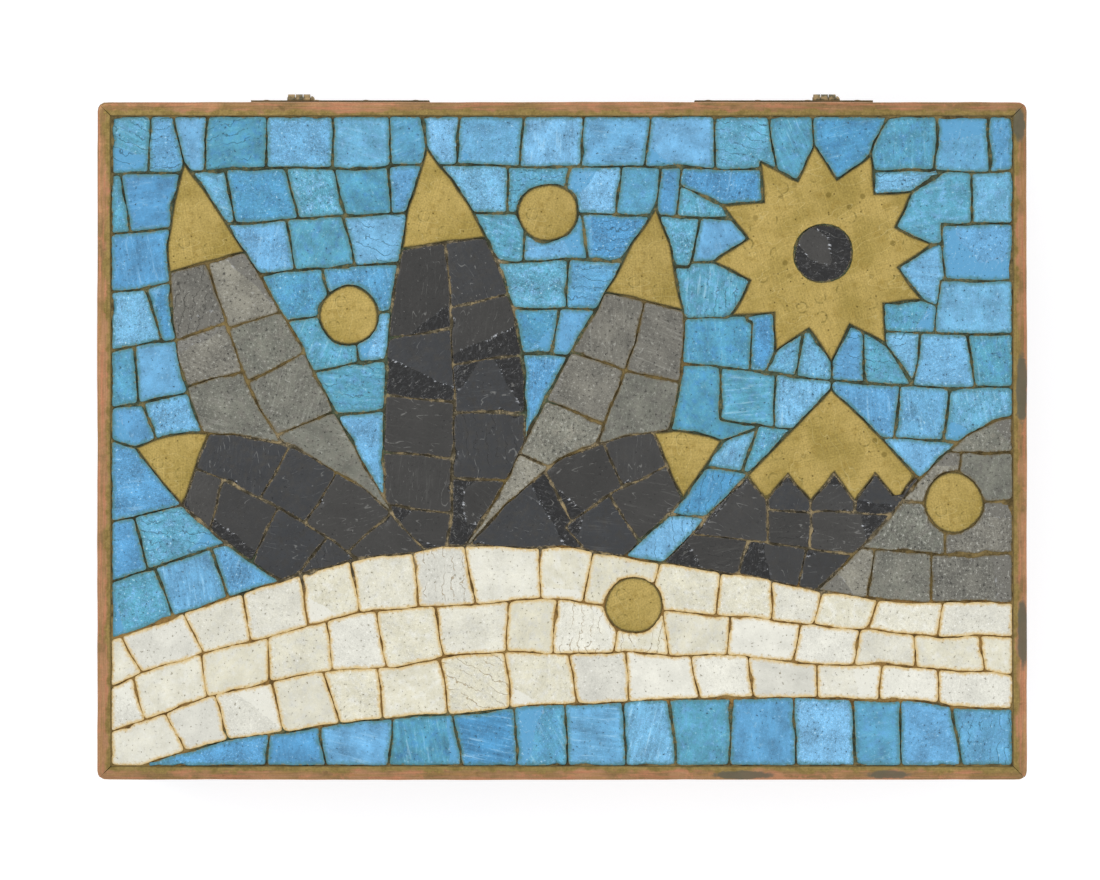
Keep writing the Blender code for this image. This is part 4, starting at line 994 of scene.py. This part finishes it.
def cut_pieces(outlines, heights, foot, cut, rng, hole=None):
    """Points of flat pieces, one for each outline, as a function of two parameters.

    One parameter runs round the outline. The other runs up the side, over a quarter circle at the edge and in
    over the top to a pole. Each height is the piece's own, with a crown, a tilt and ripples added and with
    chips and facets taken away. A hole, an outline for each piece, takes the pole's place, and its side runs
    down to the foot.
    """
    count, around = outlines.shape
    girth = np.abs(np.roll(outlines, -1, axis=1) - outlines).sum(axis=1)
    outlines = relaxed(outlines, 2 * (math.pi * cut.corner / girth) ** 2)
    step_in = inward(outlines)
    chips = chip_pattern(outlines, cut, rng)
    strayed = layered_noise(outlines, SEED, *EDGE_LAYERS)
    outlines = held_in_rim(outlines + step_in * (strayed * cut.wander + chips * cut.chip * 0.6 - cut.grown))
    edge = cut.edge * (1 + 0.5 * lattice_noise(outlines, 2.3 * MM, SEED + 2)) + 0.5 * cut.chip * chips
    brink = outlines + step_in * edge
    side = [outlines + step_in * FOOT_INSET]
    over = [outlines + step_in * edge * (1 - math.cos(turn)) for turn in EDGE_TURNS]
    pole, is_seen = best_poles(outlines)
    if hole is None:
        inner = rings_inside(outlines, brink, edge, pole, is_seen)
    else:
        bore_edge = hole - inward(hole) * cut.edge
        inner = [brink + (bore_edge - brink) * step for step in (*INNER_STEPS, 1)] + [hole]
    plan = np.stack(side + over + inner, axis=1)

    centre = outlines.mean(axis=1)[:, None, None]
    reach = np.abs(outlines - centre[:, 0]).mean(axis=1)[:, None, None]
    out = np.abs(plan - centre) / reach
    lean = cut.tilt * (rng.uniform(-1, 1, (count, 1, 1)) + 1j * rng.uniform(-1, 1, (count, 1, 1)))
    apart = (np.arange(count)[:, None, None] + 1) * RIPPLES_APART
    ripple = layered_noise(plan + apart, SEED + 3, *RIPPLE_LAYERS)
    own = heights[:, None, None]
    top = own + cut.crown * (0.4 - np.minimum(out, 1.3) ** 2) + ripple * cut.ripple
    top = top + ((plan - centre) * np.conj(lean)).real
    drop, broken = facet_drop(plan, centre, reach, cut, rng)
    from_edge = np.abs(plan - outlines[:, None, :])
    chipped = chips[:, None, :] * np.exp(-((from_edge / CHIP_REACH) ** 2))
    height = np.maximum(top - drop - 0.6 * cut.chip * chipped, own - DEEPEST_BREAK)
    broken = np.maximum(broken, chipped)
    for row, turn in enumerate(EDGE_TURNS, len(side)):
        height[:, row] -= edge * (1 - math.sin(turn))
    height[:, 0] = foot
    if hole is not None:
        height[:, -1] = height[:, -2] - cut.edge
        foot_row = np.full((count, 1, around), foot)
        plan = np.concatenate([plan, hole[:, None, :]], axis=1)
        height = np.concatenate([height, foot_row], axis=1)
        broken = np.concatenate([broken, foot_row * 0], axis=1)
    return plan, height, broken, pole


def edge_distance(plan, outlines):
    """The distance in millimetres from each point of the plan to its piece's outline."""
    made = np.empty(plan.shape)
    for number, outline in enumerate(outlines):
        made[number] = np.abs(plan[number][:, :, None] - outline[None, None, :]).min(axis=2)
    return made / MM


def add_cut_pieces(name, node, finish, cut, rng):
    """Replaces a CAD node's flat tops with cut pieces in one mesh, each with its own chances and grain."""
    tops = top_outlines(node)
    loops = np.stack([bent(evenly(loops[0], cut.around, cut.keep_corners)) for loops, _ in tops])
    heights = np.array([height for _, height in tops])
    hole = None
    if len(tops) == 1 and len(tops[0][0]) == 2:
        bore = bent(evenly(tops[0][0][1][::-1], cut.around, True))[None]
        turn = np.argmin(np.abs(np.angle(bore[0] - bore.mean()) - np.angle(loops[0, 0] - bore.mean())))
        hole = np.roll(bore, -turn, axis=1)
    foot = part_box(node)[0].z
    plan, height, broken, centre = cut_pieces(loops, heights, foot, cut, rng, hole)
    count, rows, around = plan.shape
    points = np.stack([plan.real, plan.imag, height], axis=-1).reshape(count, rows * around, 3)
    edge = edge_distance(plan, plan[:, 1]).reshape(count, -1)
    broken = broken.reshape(count, -1)
    quads = tube_faces(rows, around, closed_rows=hole is not None)
    triangles = np.empty((0, 3), int)
    if hole is None:
        triangles = end_fans(rows, around)
        poles = [np.stack([centre.real, centre.imag, z], axis=-1)[:, None]
                 for z in (np.full(count, foot), height[:, -1].mean(axis=1))]
        points = np.concatenate([points, *poles], axis=1)
        edge = np.concatenate([edge, edge.max(axis=1, keepdims=True).repeat(2, axis=1)], axis=1)
        broken = np.concatenate([broken, broken[:, -1:].repeat(2, axis=1)], axis=1)

    size = points.shape[1]
    first = (np.arange(count) * size)[:, None, None]
    values = {word: np.repeat(rng.random((count, 1)), size, axis=1)
              for word in ("tone", "hue", "veined", "cracked")}
    values["veined"] = values["veined"] ** 2
    turn = rng.integers(0, 2, (count, 1)) * math.pi / 2 + rng.normal(0, GRAIN_TURN, (count, 1))
    apart = (np.arange(count)[:, None] + 1) * GRAINS_APART
    run = (points[..., 0] + 1j * points[..., 1] - centre[:, None]) * np.exp(1j * turn) + apart
    values.update(edge=edge, fresh=broken)
    quads, triangles = (quads + first).reshape(-1, 4), (triangles + first).reshape(-1, 3)
    piece = add_surface(name, "lid", points.reshape(-1, 3), quads, triangles, finish, values,
                        run)
    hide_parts(node)
    return piece


def corner_rounded(plan, half_width, half_depth):
    """Presses a rectangle's corner squares into quarter circles, and keeps its diagonals where they are."""
    flat_x, flat_y = half_width - CORNER_RADIUS, half_depth - CORNER_RADIUS
    away = (np.abs(plan.real) - flat_x) + 1j * (np.abs(plan.imag) - flat_y)
    inside = (away.real > 0) & (away.imag > 0)
    pressed = away * np.maximum(away.real, away.imag) / np.maximum(np.abs(away), 1e-12)
    moved = np.where(inside, pressed, away)
    return (flat_x + moved.real) * np.sign(plan.real) + 1j * (flat_y + moved.imag) * np.sign(plan.imag)


def outwards(turns):
    """The way out of the side that is so many quarter turns from the front."""
    return 1j**turns * -1j


def mitred_strip(turns, profile, steps, wobble, setback, seed):
    """A strip along one side of the box, mitred at both ends, as a profile carried along a path.

    The profile is a closed ring of (distance in from the outer face, height). The path parameter runs from -1
    to 1 and scales with the strip's half length less the distance in and the setback, which makes the mitres.
    """
    half_length, half_across = (HALF_WIDTH, HALF_DEPTH) if turns % 2 == 0 else (HALF_DEPTH, HALF_WIDTH)
    way = np.linspace(-1, 1, steps + 1)[:, None]
    depth, height = profile[None, :, 0], profile[None, :, 1]
    along = way * (half_length - depth - setback)
    plan = corner_rounded(along + 1j * (depth - half_across), half_length, half_across) * 1j**turns
    slow, quick = lattice_noise(plan + 7 * seed * MM, 21 * MM, seed), lattice_noise(plan, 4.5 * MM, seed + 1)
    stray = slow * 0.6 + quick * 0.4
    plan = plan + outwards(turns) * stray * wobble * (1 - 2 * depth / depth.max())
    points = np.stack([plan.real, plan.imag, np.broadcast_to(height, along.shape)], axis=-1)
    run = (along + 1j * (depth + height)) + 0.3 * turns
    return points, run, stray


def add_strip(name, node, body, finish, points, run):
    """A strip's mesh: quads round the profile from end to end, and a fan over each end."""
    rows, columns = points.shape[:2]
    places = np.concatenate([points.reshape(-1, 3), points[[0, -1]].mean(axis=1)])
    run = np.concatenate([run.ravel(), run[[0, -1]].mean(axis=1)])
    piece = add_surface(name, body, places, tube_faces(rows, columns), end_fans(rows, columns),
                        finish, run=run)
    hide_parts(node)
    return piece


def add_nails(name, leaf, body, finish):
    """Domed nail heads along a hinge leaf, each a quarter of an ellipse turned about its middle.

    The first ring lies under the leaf's face, and the others rise with the sine of the turn as they close in
    with its cosine.
    """
    low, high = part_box(leaf)
    middle = low.z + HINGE_LEAF_HEIGHT / 2 if body == "case" else high.z - HINGE_LEAF_HEIGHT / 2
    face = low.y + HINGE_LEAF_THICKNESS
    turns = np.radians([0, 0, 25, 50, 72])[:, None]
    rows = len(turns)
    circle = np.exp(1j * np.linspace(0, 2 * math.pi, NAIL_SIDES, endpoint=False))
    across = NAIL_RADIUS * np.cos(turns) * circle
    rise = face + NAIL_RISE * (np.sin(turns) - [[0.5], [0], [0], [0], [0]]) + across.real * 0
    across = np.append(across.ravel(), [0, 0])
    rise = np.append(rise.ravel(), [face - NAIL_RISE / 2, face + NAIL_RISE])
    places = [np.stack([low.x + (high.x - low.x) * share - across.real, rise, middle + across.imag], axis=1)
              for share in NAIL_PLACES]
    quads, triangles = (np.concatenate([faces + number * len(rise) for number in range(len(places))])
                        for faces in (tube_faces(rows, NAIL_SIDES), end_fans(rows, NAIL_SIDES)))
    return add_surface(name, body, np.concatenate(places), quads, triangles, finish)


def joint_floor():
    """The height of the mortar between the tesserae in the CAD fields."""
    return np.unique(np.round(points_of(NODES["sky_tesserae"].data)[:, 2], 6))[1]


def glass_nearness(plan):
    """For each glass, 1 by it and 0 by others: a mean over all tesserae, by the fourth power of nearness."""
    near = {slot: np.zeros(plan.shape) for slot in GLASSES}
    for field in named("_tesserae"):
        for loops, _ in top_outlines(field):
            near[SLOT_OF[field]] += 1 / (np.abs(plan - loops[0].mean()) / MM + 1) ** 4
    total = sum(near.values())
    return {slot: weight / total for slot, weight in near.items()}


def set_finish(names, finish):
    """Gives CAD nodes a finish, in every slot."""
    for name in names:
        for place in NODES[name].material_slots:
            place.material = finish


def named(ending="", start=""):
    """The CAD nodes whose names start and end so, in the order of their names."""
    return sorted(name for name in NODES if name.startswith(start) and name.endswith(ending))


# Operators

class MOSAICBOX_OT_glass(Operator):
    """Cuts and lays the glass tesserae of each field, and the round glass in the sun"""
    bl_idname = "mosaic_box.glass"
    bl_label = "Glass Tesserae"

    def execute(self, context):
        glass = context.scene.mosaic_glass
        rng = np.random.default_rng(SEED)
        looks = glass_looks(glass, context.scene.mosaic_mortar)
        finishes = {slot: glass_finish(slot, look) for slot, look in looks.items()}
        for field in named("_tesserae") + ["sun_centre"]:
            look = looks[SLOT_OF[field]]
            cut = Cut(around=MORE_OR_FEWER_POINTS.get(field, GLASS_POINTS), corner=0.42 * MM, edge=glass.edge,
                      wander=glass.wander, crown=glass.crown, ripple=glass.ripple, tilt=0.012,
                      chip=glass.chip, chips=4, chipped=0.6, grown=look.grown * MM, facets=3,
                      faceted=look.faceted)
            if field == "sun_centre":
                cut.facets, cut.faceted = 9, 0.75
            name = "sun_glass" if field == "sun_centre" else field.replace("_tesserae", "_glass")
            add_cut_pieces(name, field, finishes[SLOT_OF[field]], cut, rng)
        return {"FINISHED"}


class MOSAICBOX_OT_mortar(Operator):
    """Fills the joints with crumbly mortar, and finishes the bed under it"""
    bl_idname = "mosaic_box.mortar"
    bl_label = "Mortar"

    def execute(self, context):
        mortar = context.scene.mosaic_mortar
        finish = mortar_finish(mortar)
        half_width, half_depth = (half - RIM_WIDTH + MORTAR_UNDER_RIM for half in (HALF_WIDTH, HALF_DEPTH))
        x, y = np.meshgrid(np.linspace(-half_width, half_width, MORTAR_COLUMNS),
                           np.linspace(-half_depth, half_depth, MORTAR_ROWS))
        # A grid at the joints' floor, raised by the fill, by noise and by a bell-shaped bank along the rim,
        # with a skirt down to the bed
        plan = x + 1j * y
        swell = layered_noise(plan, SEED + 20, *MORTAR_LAYERS)
        from_rim = np.minimum(half_width - np.abs(x), half_depth - np.abs(y))
        height = joint_floor() + mortar.fill + swell * mortar.roughness
        height = height + BANK_RISE * np.exp(-((from_rim / BANK_WIDTH) ** 2))
        top = np.stack([x, y, height], axis=-1).reshape(-1, 3)
        index = np.arange(x.size).reshape(x.shape)
        squares = [index[:-1, :-1], index[:-1, 1:], index[1:, 1:], index[1:, :-1]]
        quads = np.stack(squares, axis=-1).reshape(-1, 4)
        border = np.concatenate([index[0, :-1], index[:-1, -1], index[-1, :0:-1], index[:0:-1, 0]])
        foot = top[border] * [1, 1, 0] + [0, 0, BED_TOP]
        foot_index = len(top) + np.arange(len(border))
        skirt = np.stack([foot_index, np.roll(foot_index, -1), np.roll(border, -1), border], axis=1)
        places = np.concatenate([top, foot, [[0, 0, BED_TOP]]])
        near = glass_nearness(plan)
        values = {}
        for word in ("white", "grey", "black"):
            flat = near[f"{word}_glass"].ravel()
            values[f"by_{word}"] = np.concatenate([flat, flat[border], [0.0]])
        bottom = fan_faces(foot_index, len(places) - 1, False)
        piece = add_surface("joint_mortar", "lid", places, np.concatenate([quads, skirt]), bottom,
                            finish, values, sharp=60)
        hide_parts(*named("_tesserae"))
        set_finish(["mortar_bed"], finish)
        return {"FINISHED"}


class MOSAICBOX_OT_plates(Operator):
    """Lets the brass plates into the mosaic"""
    bl_idname = "mosaic_box.plates"
    bl_label = "Brass Plates"

    def execute(self, context):
        rng = np.random.default_rng(SEED + 100)
        finish = brass_finish(context.scene.mosaic_metal)
        for node in sorted(name for name, slot in SLOT_OF.items() if slot == "brass"):
            cut = Cut(around=MORE_OR_FEWER_POINTS.get(node, BRASS_POINTS), corner=0.10 * MM,
                      edge=0.10 * MM, wander=0.04 * MM, crown=0.02 * MM, ripple=0.03 * MM, tilt=0.002,
                      chip=0.12 * MM, chips=3, chipped=0.7, keep_corners=True)
            add_cut_pieces(f"{node}_brass", node, finish, cut, rng)
        return {"FINISHED"}


class MOSAICBOX_OT_rim(Operator):
    """Files the lid's rim: four mitred copper strips with an eased and slightly wavy edge"""
    bl_idname = "mosaic_box.rim"
    bl_label = "Rim"

    def execute(self, context):
        metal = context.scene.mosaic_metal
        finish = rim_finish(metal)
        profile = [(0, LID_BOTTOM + rise * MM) for rise in (0, 4, 8)]
        profile += [(RIM_EASE * (1 - math.cos(turn)), LID_TOP - RIM_EASE * (1 - math.sin(turn)))
                    for turn in np.radians([0, 30, 60, 90])]
        profile += [(RIM_WIDTH * share, LID_TOP) for share in (0.35, 0.6, 0.8)]
        profile += [(RIM_WIDTH - RIM_INNER_EASE, LID_TOP), (RIM_WIDTH, LID_TOP - RIM_INNER_EASE)]
        profile = np.array([*profile, (RIM_WIDTH, LID_BOTTOM)])
        for side, turns in SIDES.items():
            points, run, stray = mitred_strip(turns, profile, RIM_STEPS, metal.wobble, MITRE_SETBACK,
                                              SEED + 60 + turns)
            points[:, :, 2] += np.where(points[:, :, 2] > LID_TOP - MM, stray * RIM_RIPPLE, 0)
            add_strip(f"rim_{side}_strip", f"rim_{side}", "lid", finish, points, run)
        return {"FINISHED"}


class MOSAICBOX_OT_case(Operator):
    """Makes the case's copper sheets as four mitred strips, slightly dented and with soft corners"""
    bl_idname = "mosaic_box.case"
    bl_label = "Case Sheets"

    def execute(self, context):
        finish = sheet_finish(context.scene.mosaic_metal)
        outer = [(0, z) for z in np.linspace(0, CASE_TOP, 15)[1:-1]]
        profile = np.array([(SHEET_EASE, 0), (0, SHEET_EASE), *outer, (0, CASE_TOP - SHEET_EASE),
                            (SHEET_EASE, CASE_TOP), (SHEET_THICKNESS, CASE_TOP), (SHEET_THICKNESS, 0)])
        on_outside = profile[:, 0] < SHEET_THICKNESS / 2
        middle = (1 - np.abs(np.linspace(-1, 1, SHEET_STEPS + 1)) ** 12)[:, None]
        for side, turns in SIDES.items():
            # Dents are noise pushed in, and fade out by a sine up the sheet and a twelfth power along it
            points, run, _ = mitred_strip(turns, profile, SHEET_STEPS, 0, 0, SEED + 80 + turns)
            dent = sum(share * lattice_noise(run, size * MM, SEED + seed + turns)
                       for seed, size, share in DENTS)
            flat = np.sin(math.pi * np.clip(points[:, :, 2] / CASE_TOP, 0, 1))
            push = (dent * 0.5 - 0.5) * DENT_DEPTH * flat * middle * on_outside * outwards(turns)
            points += np.stack([push.real, push.imag, flat * 0], axis=-1)
            add_strip(f"case_{side}_copper", f"case_{side}_sheet", "case", finish, points, run)
        return {"FINISHED"}


class MOSAICBOX_OT_wood(Operator):
    """Finishes the cedar lining and floor, and the lid's board"""
    bl_idname = "mosaic_box.wood"
    bl_label = "Wood"

    def execute(self, context):
        wood = context.scene.mosaic_wood
        cedar_long = wood_finish("cedar_long", wood.cedar, along_x=True, roughness=0.62)
        cedar_short = wood_finish("cedar_short", wood.cedar, along_x=False, roughness=0.62)
        set_finish(["lining_front", "lining_back", "floor_board"], cedar_long)
        set_finish(["lining_left", "lining_right"], cedar_short)
        set_finish(["lid_board"], wood_finish("pine_board", wood.pine, along_x=True, roughness=0.66))
        return {"FINISHED"}


class MOSAICBOX_OT_hinges(Operator):
    """Finishes the hinges and nails their leaves on"""
    bl_idname = "mosaic_box.hinges"
    bl_label = "Hinges"

    def execute(self, context):
        finish = hinge_finish(context.scene.mosaic_metal)
        set_finish(named(start="hinge_"), finish)
        for leaf in named("_leaf", "hinge_"):
            add_nails(f"{leaf}_nails", leaf, "lid" if "lid" in leaf else "case", finish)
        return {"FINISHED"}


class MOSAICBOX_OT_stage(Operator):
    """Adds the floor, the light and a camera that looks straight down as in the picture"""
    bl_idname = "mosaic_box.stage"
    bl_label = "Floor, Light and Camera"

    def execute(self, context):
        settings, scene = context.scene.mosaic_stage, context.scene
        scene.view_settings.view_transform = "Standard"
        bpy.ops.mesh.primitive_plane_add(size=FLOOR_SIZE, location=(0, 0, -FLOOR_GAP))
        floor = context.object
        floor.name = "floor"
        white = (1.0, 1.0, 1.0, 1.0)
        paper = Finish("floor_paper", {"Roughness": 0.9, "Specular IOR Level": 0.0, "Emission Strength": 0.46,
                                       "Emission Color": white})
        floor.data.materials.append(paper.output(base_color=tuple(settings.floor)))

        scene.world = bpy.data.worlds.new("soft_sky")
        scene.world.use_nodes = True
        background = scene.world.node_tree.nodes["Background"]
        background.inputs["Color"].default_value = white
        background.inputs["Strength"].default_value = settings.sky
        for name, (place, width, share) in LAMPS.items():
            lamp = bpy.data.lights.new(name, "AREA")
            lamp.shape, lamp.size, lamp.energy = "DISK", width, settings.lamp * share
            holder = bpy.data.objects.new(name, lamp)
            holder.location = place
            holder.rotation_euler = (-holder.location).to_track_quat("-Z", "Y").to_euler()
            scene.collection.objects.link(holder)

        scale = 2 * HALF_WIDTH / LID_WIDTH_IN_PICTURE
        lens = bpy.data.cameras.new("camera")
        lens.lens = lens.sensor_width * settings.camera_height / (PICTURE_SIZE[0] * scale)
        lens.clip_end = 20
        camera = bpy.data.objects.new("camera", lens)
        right = (PICTURE_SIZE[0] / 2 - LID_MIDDLE_IN_PICTURE[0]) * scale
        up = (LID_MIDDLE_IN_PICTURE[1] - PICTURE_SIZE[1] / 2) * scale
        camera.location = (right, up, LID_TOP + settings.camera_height)
        scene.collection.objects.link(camera)
        scene.camera = camera
        return {"FINISHED"}


class MOSAICBOX_PT_sidebar(Panel):
    """Lists the steps and settings of the mosaic box"""
    bl_label = "Mosaic Box"
    bl_space_type = "VIEW_3D"
    bl_region_type = "UI"
    bl_category = "Mosaic Box"

    def draw(self, context):
        for group in GROUPS:
            box = self.layout.box()
            settings = getattr(context.scene, group)
            for name in settings.bl_rna.properties.keys():
                if name not in ("rna_type", "name"):
                    box.prop(settings, name)
        for operator in OPERATORS:
            self.layout.operator(operator.bl_idname)


GROUPS = {
    "mosaic_glass": GlassSettings,
    "mosaic_mortar": MortarSettings,
    "mosaic_metal": MetalSettings,
    "mosaic_wood": WoodSettings,
    "mosaic_stage": StageSettings,
}
OPERATORS = (
    MOSAICBOX_OT_stage,
    MOSAICBOX_OT_case,
    MOSAICBOX_OT_wood,
    MOSAICBOX_OT_hinges,
    MOSAICBOX_OT_rim,
    MOSAICBOX_OT_mortar,
    MOSAICBOX_OT_glass,
    MOSAICBOX_OT_plates,
)


def register():
    for part in (*GROUPS.values(), *OPERATORS, MOSAICBOX_PT_sidebar):
        bpy.utils.register_class(part)
    for name, group in GROUPS.items():
        setattr(bpy.types.Scene, name, PointerProperty(type=group))


def unregister():
    for name in GROUPS:
        delattr(bpy.types.Scene, name)
    for part in reversed((*GROUPS.values(), *OPERATORS, MOSAICBOX_PT_sidebar)):
        bpy.utils.unregister_class(part)


def main():
    register()
    for operator in OPERATORS:
        getattr(bpy.ops.mosaic_box, operator.bl_idname.split(".")[1])()


if __name__ == "__main__":
    main()
